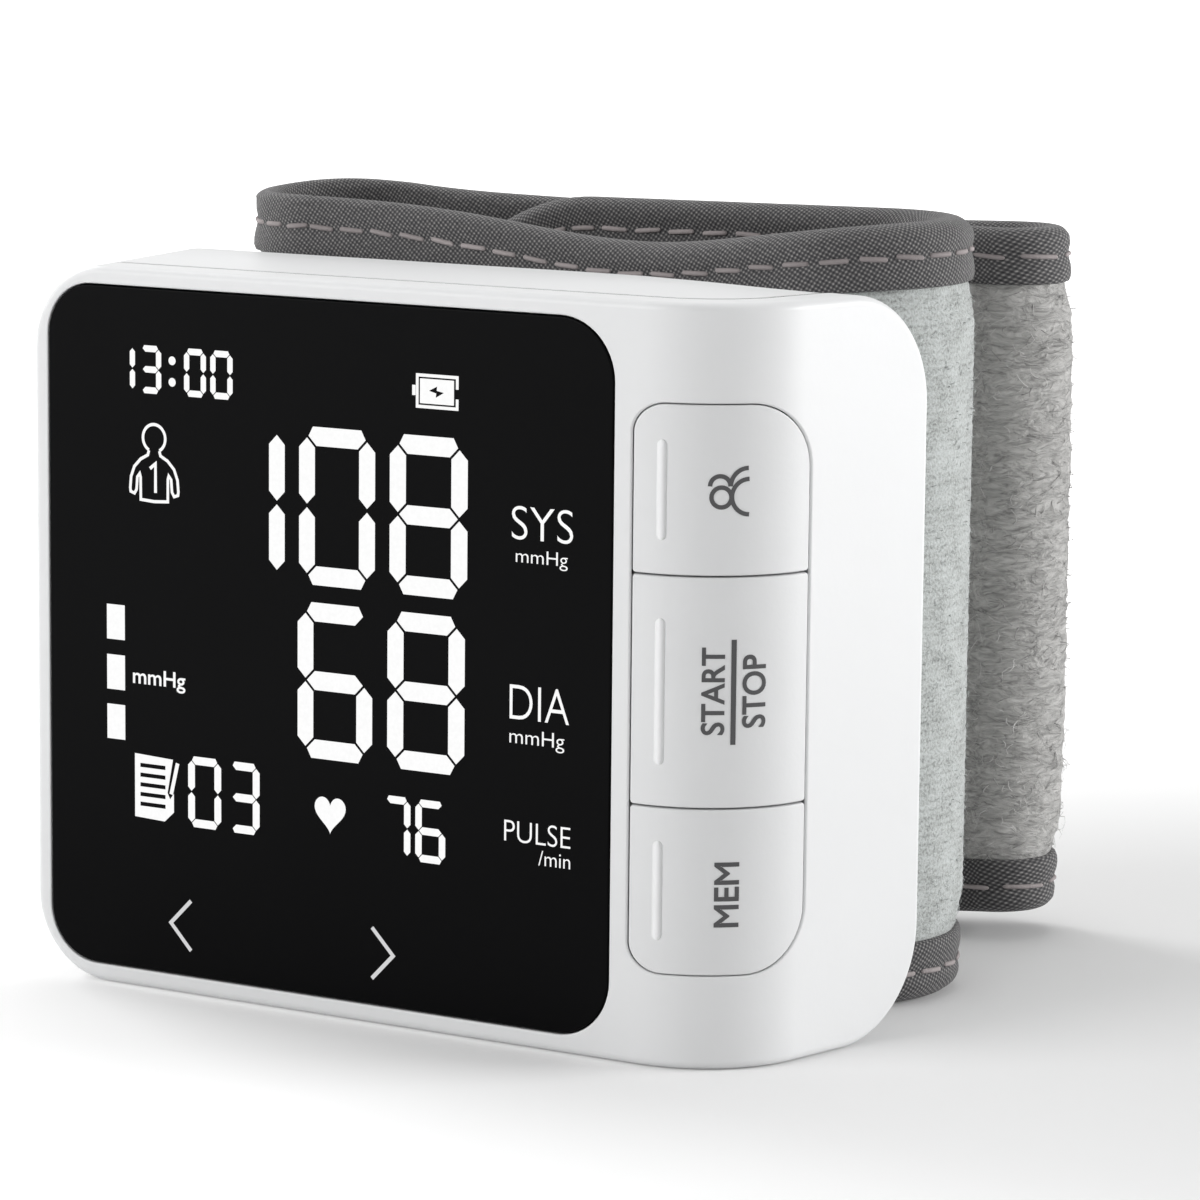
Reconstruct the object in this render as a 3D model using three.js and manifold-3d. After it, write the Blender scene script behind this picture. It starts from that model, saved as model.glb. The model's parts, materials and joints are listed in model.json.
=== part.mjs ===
// Wrist blood pressure monitor: casing with display and keys, air system, cuff and closure strap.
// Millimetres, +Z up. The casing stands on z = 0 with its display facing -Y.
import * as THREE from 'three';
import { mergeVertices } from 'three/addons/utils/BufferGeometryUtils.js';
import Module from 'manifold-3d';

const wasm = await Module();
wasm.setup();

// Casing
const CASE_HEIGHT = 70;
const CASE_FRONT_Y = -12.5;
const CASE_DEPTH = 26.5;
const FACE_LEFT_X = -39.8;
const FACE_RIGHT_X = 38.5;
const WALL_FLARE = THREE.MathUtils.degToRad(12);
const BEND_RADIUS = 11.75;
const LEFT_CORNER_RADIUS = 8.3;
const RIGHT_CORNER_RADIUS = 10.5;
const REAR_EDGE_RADIUS = 3.6;
const REAR_LEFT_RADIUS = 5;
const REAR_RIGHT_RADIUS = 1.2;
const REAR_SWEEP_START = 0.62;
const REAR_SWEEP_END = 0.97;
const COVER_DEPTH = 4.5;
const SEAM_GAP = 0.3;
const WALL = 2.2;
const FIT_GAP = 0.3;

// Display
const LENS_MARGIN = 1.9;
const LENS_WIDTH = 63.8;
const LENS_RADIUS = 7;
const LENS_THICKNESS = 1.2;
const LENS_GAP = 0.15;
const PANEL_SIDE_INSET = 3;
const PANEL_END_INSET = 7.4;
const PANEL_LEDGE = 1;
const PANEL_THICKNESS = 1.7;
const FRAME_HEIGHT = 2;
const FRAME_WIDTH = 2;
const BOARD_THICKNESS = 1.2;

// Keys
const KEY_LOW_MARGIN = 8.7;
const KEY_HIGH_MARGIN = 9;
const KEY_NAMES = ['memory', 'start_stop', 'user'];
const KEY_SHARES = [15.5, 21.2, 15.6];
const KEY_WIDTH = 15.5;
const KEY_GAP = 0.3;
const KEY_TRAVEL = 0.4;
const KEY_WALL = 1.6;
const KEY_LEFT_RADIUS = 3.5;
const KEY_RIGHT_RADIUS = 6;
const KEY_LIP = 0.8;
const KEY_POST_SIDE = 3;
const SWITCH_SIDE = 4.6;
const SWITCH_HEIGHT = 2;
const PLUNGER_RADIUS = 0.9;
const PLUNGER_HEIGHT = 0.8;
const KEY_BOARD_DEPTH = 8.6;
const KEY_BOARD_WIDTH = 13.6;
const KEY_BOARD_OVERHANG = 4;
const KEY_BOARD_STAND = 2.4;
const RIBBON_WIDTH = 9;
const RIBBON_LENGTH = 8;
const RIBBON_THICKNESS = 0.3;
const RIBBON_BEND_RADIUS = 2;

// Air system
const PUMP_RADIUS = 5.2;
const PUMP_MOTOR_LENGTH = 16;
const PUMP_HEAD_LENGTH = 13;
const PUMP_TOP_Z = 60;
const PUMP_X = 6;
const CRANK_SHAFT_RADIUS = 0.9;
const CRANK_RADIUS = 2.2;
const CRANK_OFFSET = 0.6;
const CRANK_CHAMBER_RADIUS = 3.6;
const VALVE_X = 19;
const VALVE_WIDTH = 9;
const VALVE_LENGTH = 15;
const VALVE_PLUNGER_RADIUS = 1.5;
const VALVE_TRAVEL = 1;
const NIPPLE_RADIUS = 1.3;
const NIPPLE_LENGTH = 2.4;
const HOSE_WALL = 0.8;
const HOSE_CLEARANCE = 0.25;
const MANIFOLD_Z = 19;
const MANIFOLD_SIDE = 4;
const SENSOR_SIDE = 7;
const SENSOR_HEIGHT = 3;
const PORT_FLANGE = 0.8;

// Electrics
const BATTERY_WIDTH = 32;
const BATTERY_HEIGHT = 46;
const BATTERY_THICKNESS = 6.5;
const BATTERY_PAD = 0.5;
const BATTERY_X = -21;
const SOCKET_WIDTH = 9;
const SOCKET_HEIGHT = 3.2;
const SOCKET_LENGTH = 7.3;
const SOCKET_WALL = 0.4;
const BUZZER_RADIUS = 4.5;
const BUZZER_HEIGHT = 3;
const CHIP_SIDE = 10;
const CHIP_HEIGHT = 1.2;
const LEAD_WIDTH = 4.6;
const LEAD_THICKNESS = 2;

// Fasteners
const BOSS_RADIUS = 2.3;
const BOSS_INSET_Z = 6;
const BOSS_LEFT_X = -28;
const BOSS_RIGHT_X = 19.6;
const SCREW_RADIUS = 0.9;
const SCREW_HEAD_RADIUS = 1.7;
const SCREW_HEAD_HEIGHT = 1.4;
const SCREW_LENGTH = 15;
const SCREW_HEAD_SINK = 4;
const BOSS_JOINT_Y = -2;

// Cuff
const CUFF_HEIGHT = 75.4;
const CUFF_STANDOFF = 1.85;
const CUFF_BEND_RADIUS = 11.75;
const CUFF_LEFT_X = -26.8;
const CUFF_RIGHT_X = 27.3;
const FLAP_LENGTH = 48;
const FLAP_TILT = THREE.MathUtils.degToRad(10);
const FLAP_END_RADIUS = 18;
const COVER_CLOTH = 0.8;
const STIFFENER = 0.7;
const BLADDER = 0.9;
const LINING_CLOTH = 0.75;
const LAYER_GAP = 0.25;
const BINDING_BAND = 7;
const BINDING_CLOTH = 0.6;
const BINDING_GAP = 0.15;
const STIFFENER_INSET = 9;
const BLADDER_INSET = 10;
const PAD_WIDTH = 40;
const PAD_HEIGHT = 42;
const RIVET_SPACING = 30;
const RIVET_RADIUS = 1;
const RIVET_HEAD_RADIUS = 2.2;

// Closure strap
const STRAP_ROOT_HEIGHT = 74.6;
const STRAP_HEIGHT = 70;
const STRAP_TILT = THREE.MathUtils.degToRad(15);
const STRAP_THICKNESS = 2.4;
const STRAP_RUN_LENGTH = 61;
const STRAP_FOLD_RADIUS = 6;
const STRAP_FOLD_CLOSE = THREE.MathUtils.degToRad(8);
const STRAP_RETURN_LENGTH = 22;
const STRAP_EASE_RADIUS = 20;
const STRAP_TIP_LENGTH = 18;
const HINGE_GAP = 1;
const HOOK_THICKNESS = 1;
const HOOK_HEIGHT = 46;
const HOOK_LENGTH = 14;

// Smoothness of round stretches
const CURVE_STEPS = 8;
const BEND_STEPS = 12;
const LOOP_STEPS = 14;
const ROUND_SIDES = 20;
const EASE_STEPS = 3;

const CASE_REAR_Y = CASE_FRONT_Y + CASE_DEPTH;
const FLARE = Math.tan(WALL_FLARE);
const REACH = 200;
const OVERSHOOT = 1;

// Materials
const plastic = (color, roughness) => new THREE.MeshStandardMaterial({ color, roughness, metalness: 0 });
const metal = (color, roughness) => new THREE.MeshStandardMaterial({ color, roughness, metalness: 1 });
const MATERIALS = {
  casing: plastic(0xf2f2f1, 0.45),
  key: plastic(0xefefee, 0.5),
  lens: plastic(0x0b0b0c, 0.08),
  panel: plastic(0x20242a, 0.4),
  frame: plastic(0xe8e8e4, 0.6),
  board: plastic(0x1c6b3a, 0.5),
  chip: plastic(0x17181a, 0.5),
  steel: metal(0xb9bcc0, 0.35),
  brass: metal(0xc9a45a, 0.4),
  pumpHead: plastic(0x2b2c2f, 0.5),
  hose: plastic(0xdcdcd6, 0.6),
  battery: plastic(0x9aa4ad, 0.4),
  foam: plastic(0x3a3a3c, 0.9),
  knit: plastic(0xb9beba, 0.95),
  lining: plastic(0x6f706f, 0.95),
  binding: plastic(0x5b5a59, 0.9),
  pile: plastic(0x9b9b9a, 1),
  bladder: plastic(0xcfcfc9, 0.6),
  stiffener: plastic(0xe2e4e4, 0.4),
  hook: plastic(0x4a4a4b, 0.9),
};

const monitor = new THREE.Group();

// Solids: three.js geometry in, joined and cut solids out
function solidOf(geometry) {
  const bare = geometry.clone();
  bare.deleteAttribute('normal');
  bare.deleteAttribute('uv');
  const merged = mergeVertices(bare, 1e-4);
  const mesh = new wasm.Mesh({
    numProp: 3,
    vertProperties: new Float32Array(merged.attributes.position.array),
    triVerts: new Uint32Array(merged.index.array),
  });
  return new wasm.Manifold(mesh);
}

function geometryOf(solid) {
  const mesh = solid.getMesh();
  const geometry = new THREE.BufferGeometry();
  geometry.setAttribute('position', new THREE.BufferAttribute(new Float32Array(mesh.vertProperties), 3));
  geometry.setIndex(new THREE.BufferAttribute(new Uint32Array(mesh.triVerts), 1));
  return geometry;
}

function place(name, shape, material, group = monitor) {
  const geometry = shape instanceof THREE.BufferGeometry ? shape : geometryOf(shape);
  const mesh = new THREE.Mesh(geometry, material);
  mesh.name = name;
  group.add(mesh);
  return mesh;
}

// Outlines: each corner is [x, y, radius]
function rounded(corners, steps = CURVE_STEPS) {
  const points = [];
  corners.forEach(([x, y, radius], i) => {
    const here = new THREE.Vector2(x, y);
    const before = corners[(i + corners.length - 1) % corners.length];
    const after = corners[(i + 1) % corners.length];
    const back = new THREE.Vector2(before[0], before[1]).sub(here).normalize();
    const ahead = new THREE.Vector2(after[0], after[1]).sub(here).normalize();
    if (!(radius > 0)) {
      points.push(here);
      return;
    }
    const half = Math.acos(THREE.MathUtils.clamp(back.dot(ahead), -1, 1)) / 2;
    const centre = back.clone().add(ahead).normalize().multiplyScalar(radius / Math.sin(half)).add(here);
    const from = here.clone().addScaledVector(back, radius / Math.tan(half)).sub(centre);
    const to = here.clone().addScaledVector(ahead, radius / Math.tan(half)).sub(centre);
    const start = from.angle();
    const sweep = Math.atan2(from.cross(to), from.dot(to));
    for (let k = 0; k <= steps; k += 1) {
      const angle = start + (sweep * k) / steps;
      points.push(new THREE.Vector2(radius * Math.cos(angle), radius * Math.sin(angle)).add(centre));
    }
  });
  return points;
}

function rectangle(x0, y0, x1, y1, radius = 0) {
  return rounded([[x0, y0, radius], [x1, y0, radius], [x1, y1, radius], [x0, y1, radius]]);
}

function alongZ(points, z0, z1) {
  const geometry = new THREE.ExtrudeGeometry(new THREE.Shape(points), { depth: z1 - z0, bevelEnabled: false });
  return geometry.translate(0, 0, z0);
}

// Outline given as (x, z), carried from y0 to y1
function alongY(points, y0, y1) {
  const geometry = new THREE.ExtrudeGeometry(new THREE.Shape(points), { depth: y1 - y0, bevelEnabled: false });
  return geometry.rotateX(Math.PI / 2).translate(0, y1, 0);
}

function box(x0, x1, y0, y1, z0, z1) {
  const geometry = new THREE.BoxGeometry(x1 - x0, y1 - y0, z1 - z0);
  return geometry.translate((x0 + x1) / 2, (y0 + y1) / 2, (z0 + z1) / 2);
}

function rodY(x, z, radius, y0, y1) {
  return new THREE.CylinderGeometry(radius, radius, y1 - y0, ROUND_SIDES).translate(x, (y0 + y1) / 2, z);
}

function rodZ(x, y, radius, z0, z1) {
  const rod = new THREE.CylinderGeometry(radius, radius, z1 - z0, ROUND_SIDES).rotateX(Math.PI / 2);
  return rod.translate(x, y, (z0 + z1) / 2);
}

const join = (...shapes) => shapes.map((s) => (s.isBufferGeometry ? solidOf(s) : s)).reduce((a, b) => a.add(b));
const cut = (base, ...tools) => tools.reduce(
  (left, tool) => left.subtract(tool.isBufferGeometry ? solidOf(tool) : tool),
  base.isBufferGeometry ? solidOf(base) : base,
);
const common = (a, b) => (a.isBufferGeometry ? solidOf(a) : a).intersect(b.isBufferGeometry ? solidOf(b) : b);

// Casing body, drawn in by a distance on all sides
const leftX = (y, inset) => FACE_LEFT_X - (y - CASE_FRONT_Y) * FLARE + inset / Math.cos(WALL_FLARE);
const rightX = (y, inset) => FACE_RIGHT_X + (y - CASE_FRONT_Y) * FLARE - inset / Math.cos(WALL_FLARE);

function casePlan(inset) {
  const front = CASE_FRONT_Y + inset;
  const rear = CASE_REAR_Y - inset;
  return rounded([
    [leftX(front, inset), front, 0],
    [rightX(front, inset), front, BEND_RADIUS - inset],
    [rightX(rear, inset), rear, Math.max(REAR_RIGHT_RADIUS - inset, SEAM_GAP)],
    [leftX(rear, inset), rear, Math.max(REAR_LEFT_RADIUS - inset, SEAM_GAP)],
  ], BEND_STEPS);
}

// Rounds the left end as seen from the front, following the flare of the left wall
function leftRounding(inset) {
  const low = inset;
  const high = CASE_HEIGHT - inset;
  const radius = LEFT_CORNER_RADIUS - inset;
  const left = leftX(CASE_FRONT_Y, inset);
  const points = rounded([[left, low, radius], [REACH, low, 0], [REACH, high, 0], [left, high, radius]]);
  const prism = alongY(points, CASE_FRONT_Y - CASE_DEPTH, CASE_REAR_Y + CASE_DEPTH);
  const spots = prism.attributes.position;
  for (let i = 0; i < spots.count; i += 1) {
    spots.setX(i, spots.getX(i) - (spots.getY(i) - CASE_FRONT_Y) * FLARE);
  }
  return prism;
}

// Turns the faces of a mirrored solid the right way out again
function flipped(geometry) {
  const spots = geometry.attributes.position;
  for (let i = 0; i < spots.count; i += 3) {
    const a = new THREE.Vector3().fromBufferAttribute(spots, i + 1);
    const b = new THREE.Vector3().fromBufferAttribute(spots, i + 2);
    spots.setXYZ(i + 1, b.x, b.y, b.z);
    spots.setXYZ(i + 2, a.x, a.y, a.z);
  }
  return geometry;
}

// Takes the edge off the rear of the top and bottom, with a radius that grows towards the right wall
function rearEdgeCutters(inset) {
  const arc = Array.from({ length: CURVE_STEPS + 1 }, (_, k) => {
    const angle = (Math.PI / 2) * (k / CURVE_STEPS);
    return new THREE.Vector2(1 - Math.sin(angle), 1 - Math.cos(angle));
  });
  const outline = [new THREE.Vector2(-1, -1), new THREE.Vector2(1, -1), ...arc, new THREE.Vector2(-1, 1)];
  const x0 = leftX(CASE_REAR_Y, 0) - WALL;
  const x1 = rightX(CASE_REAR_Y, 0) + WALL;
  return [false, true].map((top) => {
    const options = { depth: 1, steps: BEND_STEPS, bevelEnabled: false };
    const cutter = new THREE.ExtrudeGeometry(new THREE.Shape(outline), options);
    const spots = cutter.attributes.position;
    for (let i = 0; i < spots.count; i += 1) {
      const share = spots.getZ(i);
      const growth = THREE.MathUtils.smoothstep(share, REAR_SWEEP_START, REAR_SWEEP_END);
      const sweep = THREE.MathUtils.lerp(REAR_EDGE_RADIUS, RIGHT_CORNER_RADIUS, growth);
      const radius = Math.max(sweep - inset, SEAM_GAP);
      const down = inset + radius * spots.getY(i);
      const y = CASE_REAR_Y - inset - radius * spots.getX(i);
      spots.setXYZ(i, x0 + (x1 - x0) * share, y, top ? CASE_HEIGHT - down : down);
    }
    return top ? cutter : flipped(cutter);
  });
}

function caseSolid(inset) {
  const slab = common(alongZ(casePlan(inset), inset, CASE_HEIGHT - inset), leftRounding(inset));
  return cut(slab, ...rearEdgeCutters(inset));
}

// Everything in front of, or to the right of, the front profile drawn in by a depth
function frontSide(depth) {
  const front = CASE_FRONT_Y + depth;
  return alongZ(rounded([
    [-REACH, -REACH, 0],
    [REACH, -REACH, 0],
    [REACH, REACH, 0],
    [rightX(REACH, depth), REACH, 0],
    [rightX(front, depth), front, BEND_RADIUS - depth],
    [-REACH, front, 0],
  ], BEND_STEPS), -REACH, REACH);
}

// Key frame: local x runs across the keys, local y points into the casing
const bendHalf = (Math.PI / 2 - WALL_FLARE) / 2;
const bendStartX = FACE_RIGHT_X - BEND_RADIUS * Math.tan(bendHalf);
const keyFrame = new THREE.Group();
keyFrame.position.set(bendStartX, CASE_FRONT_Y + BEND_RADIUS, 0);
keyFrame.rotation.z = bendHalf;
keyFrame.updateMatrix();
monitor.add(keyFrame);
const inKeyFrame = (geometry) => geometry.applyMatrix4(keyFrame.matrix);
const keyHalfWidth = KEY_WIDTH / 2;
const keyColumnTop = CASE_HEIGHT - KEY_HIGH_MARGIN;
const keyShareSum = KEY_SHARES.reduce((a, b) => a + b, 0);
const keyHeights = KEY_SHARES.map((share) => (share / keyShareSum) * (keyColumnTop - KEY_LOW_MARGIN));

// Prism through the wall along the way the keys travel, grown by a margin
function keyPrism(z0, z1, sides, radii) {
  const [left, right] = [-keyHalfWidth - sides, keyHalfWidth + sides];
  const [lowLeft, lowRight, highRight, highLeft] = radii;
  const points = rounded([
    [left, z0, lowLeft],
    [right, z0, lowRight],
    [right, z1, highRight],
    [left, z1, highLeft],
  ]);
  return inKeyFrame(alongY(points, -BEND_RADIUS - WALL, 0));
}

const outerBody = caseSolid(0);
const cavity = caseSolid(WALL);
const shell = outerBody.subtract(cavity);

// Lens and its seat
const lensLeft = FACE_LEFT_X + LENS_MARGIN;
const lensRight = lensLeft + LENS_WIDTH;
const lensLow = LENS_MARGIN;
const lensHigh = CASE_HEIGHT - LENS_MARGIN;
const faceInnerY = CASE_FRONT_Y + WALL;
const lensBackY = CASE_FRONT_Y + LENS_THICKNESS;
const panelLeft = lensLeft + PANEL_SIDE_INSET;
const panelRight = lensRight - PANEL_SIDE_INSET / 2;
const panelLow = lensLow + PANEL_END_INSET;
const panelHigh = lensHigh - PANEL_END_INSET;
const lensSeat = alongY(
  rectangle(lensLeft - LENS_GAP, lensLow - LENS_GAP, lensRight + LENS_GAP, lensHigh + LENS_GAP,
    LENS_RADIUS + LENS_GAP),
  CASE_FRONT_Y - WALL, lensBackY,
);
const lensWindow = box(
  panelLeft + PANEL_LEDGE, panelRight - PANEL_LEDGE,
  CASE_FRONT_Y - WALL, faceInnerY + WALL,
  panelLow + PANEL_LEDGE, panelHigh - PANEL_LEDGE,
);

// Screw places, as [x, z]
const screwSpots = [BOSS_LEFT_X, BOSS_RIGHT_X].flatMap(
  (x) => [BOSS_INSET_Z, CASE_HEIGHT - BOSS_INSET_Z].map((z) => [x, z]),
);
const rearInnerY = CASE_REAR_Y - WALL;
const screwHeadY = CASE_REAR_Y - SCREW_HEAD_SINK;
const screwTipY = screwHeadY - SCREW_LENGTH;

// Front cover, with lens seat, key opening, screw bosses and stands for the key board
const keyBoardY = -BEND_RADIUS + KEY_BOARD_DEPTH;
const keyBoardLow = KEY_LOW_MARGIN - KEY_BOARD_OVERHANG;
const keyBoardHigh = keyColumnTop + KEY_BOARD_OVERHANG;
const standDepth = BEND_RADIUS - WALL / 2;
const keyBoardStands = [keyBoardLow, keyBoardHigh - KEY_BOARD_STAND].map((z) => inKeyFrame(
  box(-KEY_POST_SIDE, KEY_POST_SIDE, -standDepth, keyBoardY - FIT_GAP, z, z + KEY_BOARD_STAND),
));
const frontBosses = screwSpots.map(
  ([x, z]) => rodY(x, z, BOSS_RADIUS, faceInnerY - WALL / 4, BOSS_JOINT_Y - FIT_GAP),
);
const frontBores = screwSpots.map(
  ([x, z]) => rodY(x, z, SCREW_RADIUS + FIT_GAP / 2, screwTipY - FIT_GAP, BOSS_JOINT_Y + WALL),
);
const keyOpeningRadii = [KEY_LEFT_RADIUS, KEY_RIGHT_RADIUS, KEY_RIGHT_RADIUS, KEY_LEFT_RADIUS];
const keyOpening = keyPrism(KEY_LOW_MARGIN, keyColumnTop, 0, keyOpeningRadii);
const coverShell = cut(common(shell, frontSide(COVER_DEPTH)), lensSeat, lensWindow, keyOpening);
const frontCover = cut(join(coverShell, ...frontBosses, ...keyBoardStands), ...frontBores);
place('front_cover', frontCover, MATERIALS.casing);

place('display_lens', alongY(
  rectangle(lensLeft, lensLow, lensRight, lensHigh, LENS_RADIUS), CASE_FRONT_Y, lensBackY,
), MATERIALS.lens);

// Display panel, its frame and the main board, stacked behind the face wall
const panelBackY = faceInnerY + PANEL_THICKNESS;
const boardFrontY = panelBackY + FRAME_HEIGHT;
const boardBackY = boardFrontY + BOARD_THICKNESS;
place('display_panel', box(
  panelLeft, panelRight, faceInnerY, panelBackY, panelLow, panelHigh,
), MATERIALS.panel);
place('display_frame', cut(
  box(panelLeft, panelRight, panelBackY, boardFrontY, panelLow, panelHigh),
  box(panelLeft + FRAME_WIDTH, panelRight - FRAME_WIDTH, panelBackY - WALL, boardFrontY + WALL,
    panelLow + FRAME_WIDTH, panelHigh - FRAME_WIDTH),
), MATERIALS.frame);
place('main_board', box(panelLeft, panelRight, boardFrontY, boardBackY, panelLow, panelHigh), MATERIALS.board);

// Keys: a wall that follows the bend, side lips behind the casing wall, and a post over its switch
const lipOuter = WALL + FIT_GAP;
const lipInner = lipOuter + KEY_LIP;
const postTipY = keyBoardY - SWITCH_HEIGHT - PLUNGER_HEIGHT - FIT_GAP;
const lipBand = cut(caseSolid(lipOuter), caseSolid(lipInner));
const keyBand = cut(outerBody, caseSolid(lipInner));
const keyHollow = caseSolid(KEY_WALL);
let keyLow = KEY_LOW_MARGIN;
KEY_NAMES.forEach((key, i) => {
  const keyHigh = keyLow + keyHeights[i];
  const middle = (keyLow + keyHigh) / 2;
  const low = keyLow + (i === 0 ? KEY_GAP : KEY_GAP / 2);
  const high = keyHigh - (i === KEY_NAMES.length - 1 ? KEY_GAP : KEY_GAP / 2);
  const lowRound = i === 0 ? 1 : 0;
  const highRound = i === KEY_NAMES.length - 1 ? 1 : 0;
  const radii = [
    lowRound * (KEY_LEFT_RADIUS - KEY_GAP),
    lowRound * (KEY_RIGHT_RADIUS - KEY_GAP),
    highRound * (KEY_RIGHT_RADIUS - KEY_GAP),
    highRound * (KEY_LEFT_RADIUS - KEY_GAP),
  ];
  const straight = [0, 0, 0, 0];
  const block = common(keyBand, keyPrism(low, high, -KEY_GAP, radii));
  const inside = common(keyHollow, keyPrism(low + KEY_WALL, high - KEY_WALL, -KEY_GAP - KEY_WALL, straight));
  const lips = cut(
    common(lipBand, keyPrism(middle - SWITCH_SIDE, middle + SWITCH_SIDE, KEY_LIP, straight)),
    keyPrism(low, high, -KEY_GAP - KEY_WALL, straight),
  );
  const half = KEY_POST_SIDE / 2;
  const post = box(-half, half, -BEND_RADIUS + KEY_WALL / 2, postTipY, middle - half, middle + half);
  place(`${key}_key`, join(cut(block, inside), lips, inKeyFrame(post)), MATERIALS.key);

  const switchTop = keyBoardY - SWITCH_HEIGHT;
  const sideHalf = SWITCH_SIDE / 2;
  const well = rodY(0, middle, PLUNGER_RADIUS + FIT_GAP, switchTop - OVERSHOOT, keyBoardY - SWITCH_HEIGHT / 4);
  const body = box(-sideHalf, sideHalf, switchTop, keyBoardY, middle - sideHalf, middle + sideHalf);
  place(`${key}_switch`, cut(body, well), MATERIALS.chip, keyFrame);
  const plungerFoot = keyBoardY - SWITCH_HEIGHT / 4 - KEY_TRAVEL - FIT_GAP;
  const plunger = rodY(0, middle, PLUNGER_RADIUS, switchTop - PLUNGER_HEIGHT, plungerFoot);
  place(`${key}_plunger`, plunger, MATERIALS.brass, keyFrame);
  keyLow = keyHigh;
});
const keyBoard = box(-KEY_BOARD_WIDTH / 2, KEY_BOARD_WIDTH / 2, keyBoardY, keyBoardY + BOARD_THICKNESS,
  keyBoardLow, keyBoardHigh);
place('key_board', keyBoard, MATERIALS.board, keyFrame);

// Rear shell, with cuff pad, screw bosses, socket opening, port hole and rivet holes
const boardMiddleZ = (panelLow + panelHigh) / 2;
const airX = (PUMP_X + VALVE_X) / 2;
const airY = rearInnerY - FIT_GAP - PUMP_RADIUS;
const cuffFrontY = CASE_REAR_Y + CUFF_STANDOFF;
const padRearY = cuffFrontY - FIT_GAP;
const caseMiddleZ = CASE_HEIGHT / 2;
const rivetSpots = [-RIVET_SPACING / 2, RIVET_SPACING / 2];
const cuffPad = box(-PAD_WIDTH / 2, PAD_WIDTH / 2, CASE_REAR_Y - WALL / 2, padRearY,
  caseMiddleZ - PAD_HEIGHT / 2, caseMiddleZ + PAD_HEIGHT / 2);
const socketY = boardBackY + SOCKET_HEIGHT / 2;
const socketLeft = leftX(socketY, 0) + FIT_GAP;
const socketOpening = box(
  socketLeft - REACH / 10, leftX(socketY, WALL) + WALL,
  boardBackY - FIT_GAP, boardBackY + SOCKET_HEIGHT + FIT_GAP,
  boardMiddleZ - SOCKET_WIDTH / 2 - FIT_GAP, boardMiddleZ + SOCKET_WIDTH / 2 + FIT_GAP,
);
const rearBosses = screwSpots.map(([x, z]) => rodY(x, z, BOSS_RADIUS, BOSS_JOINT_Y, rearInnerY + WALL / 2));
const rearBores = screwSpots.flatMap(([x, z]) => [
  rodY(x, z, SCREW_RADIUS + FIT_GAP, BOSS_JOINT_Y - WALL, screwHeadY + WALL),
  rodY(x, z, SCREW_HEAD_RADIUS + FIT_GAP / 2, screwHeadY, CASE_REAR_Y + WALL),
]);
const rivetBores = rivetSpots.map(
  (x) => rodY(x, caseMiddleZ, RIVET_RADIUS + FIT_GAP / 2, rearInnerY - WALL, padRearY + WALL),
);
const portHole = rodY(airX, MANIFOLD_Z, NIPPLE_RADIUS + FIT_GAP / 2, rearInnerY - WALL, padRearY + WALL);
const rearBase = cut(shell, frontSide(COVER_DEPTH + SEAM_GAP));
place('rear_shell', cut(
  join(rearBase, cuffPad, ...rearBosses), ...rearBores, ...rivetBores, portHole, socketOpening,
), MATERIALS.casing);

screwSpots.forEach(([x, z], i) => {
  place(`case_screw_${i + 1}`, join(
    rodY(x, z, SCREW_RADIUS, screwTipY, screwHeadY + SCREW_HEAD_HEIGHT / 2),
    rodY(x, z, SCREW_HEAD_RADIUS, screwHeadY, screwHeadY + SCREW_HEAD_HEIGHT),
  ), MATERIALS.steel);
});

// Parts on the back of the main board
const socket = box(socketLeft, socketLeft + SOCKET_LENGTH, boardBackY, boardBackY + SOCKET_HEIGHT,
  boardMiddleZ - SOCKET_WIDTH / 2, boardMiddleZ + SOCKET_WIDTH / 2);
const socketMouth = box(
  socketLeft - OVERSHOOT, socketLeft + SOCKET_LENGTH - SOCKET_WALL,
  boardBackY + SOCKET_WALL, boardBackY + SOCKET_HEIGHT - SOCKET_WALL,
  boardMiddleZ - SOCKET_WIDTH / 2 + SOCKET_WALL, boardMiddleZ + SOCKET_WIDTH / 2 - SOCKET_WALL,
);
place('charging_socket', cut(socket, socketMouth), MATERIALS.steel);
const buzzerX = panelLeft + 2 * BUZZER_RADIUS;
const buzzerZ = panelHigh - 2 * BUZZER_RADIUS;
place('buzzer', cut(
  rodY(buzzerX, buzzerZ, BUZZER_RADIUS, boardBackY, boardBackY + BUZZER_HEIGHT),
  rodY(buzzerX, buzzerZ, BUZZER_RADIUS / 4, boardBackY + BUZZER_HEIGHT / 2,
    boardBackY + BUZZER_HEIGHT + OVERSHOOT),
), MATERIALS.chip);
const chipX = BATTERY_X + CHIP_SIDE;
place('controller_chip', box(chipX - CHIP_SIDE / 2, chipX + CHIP_SIDE / 2, boardBackY, boardBackY + CHIP_HEIGHT,
  boardMiddleZ - CHIP_SIDE / 2, boardMiddleZ + CHIP_SIDE / 2), MATERIALS.chip);

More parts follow.
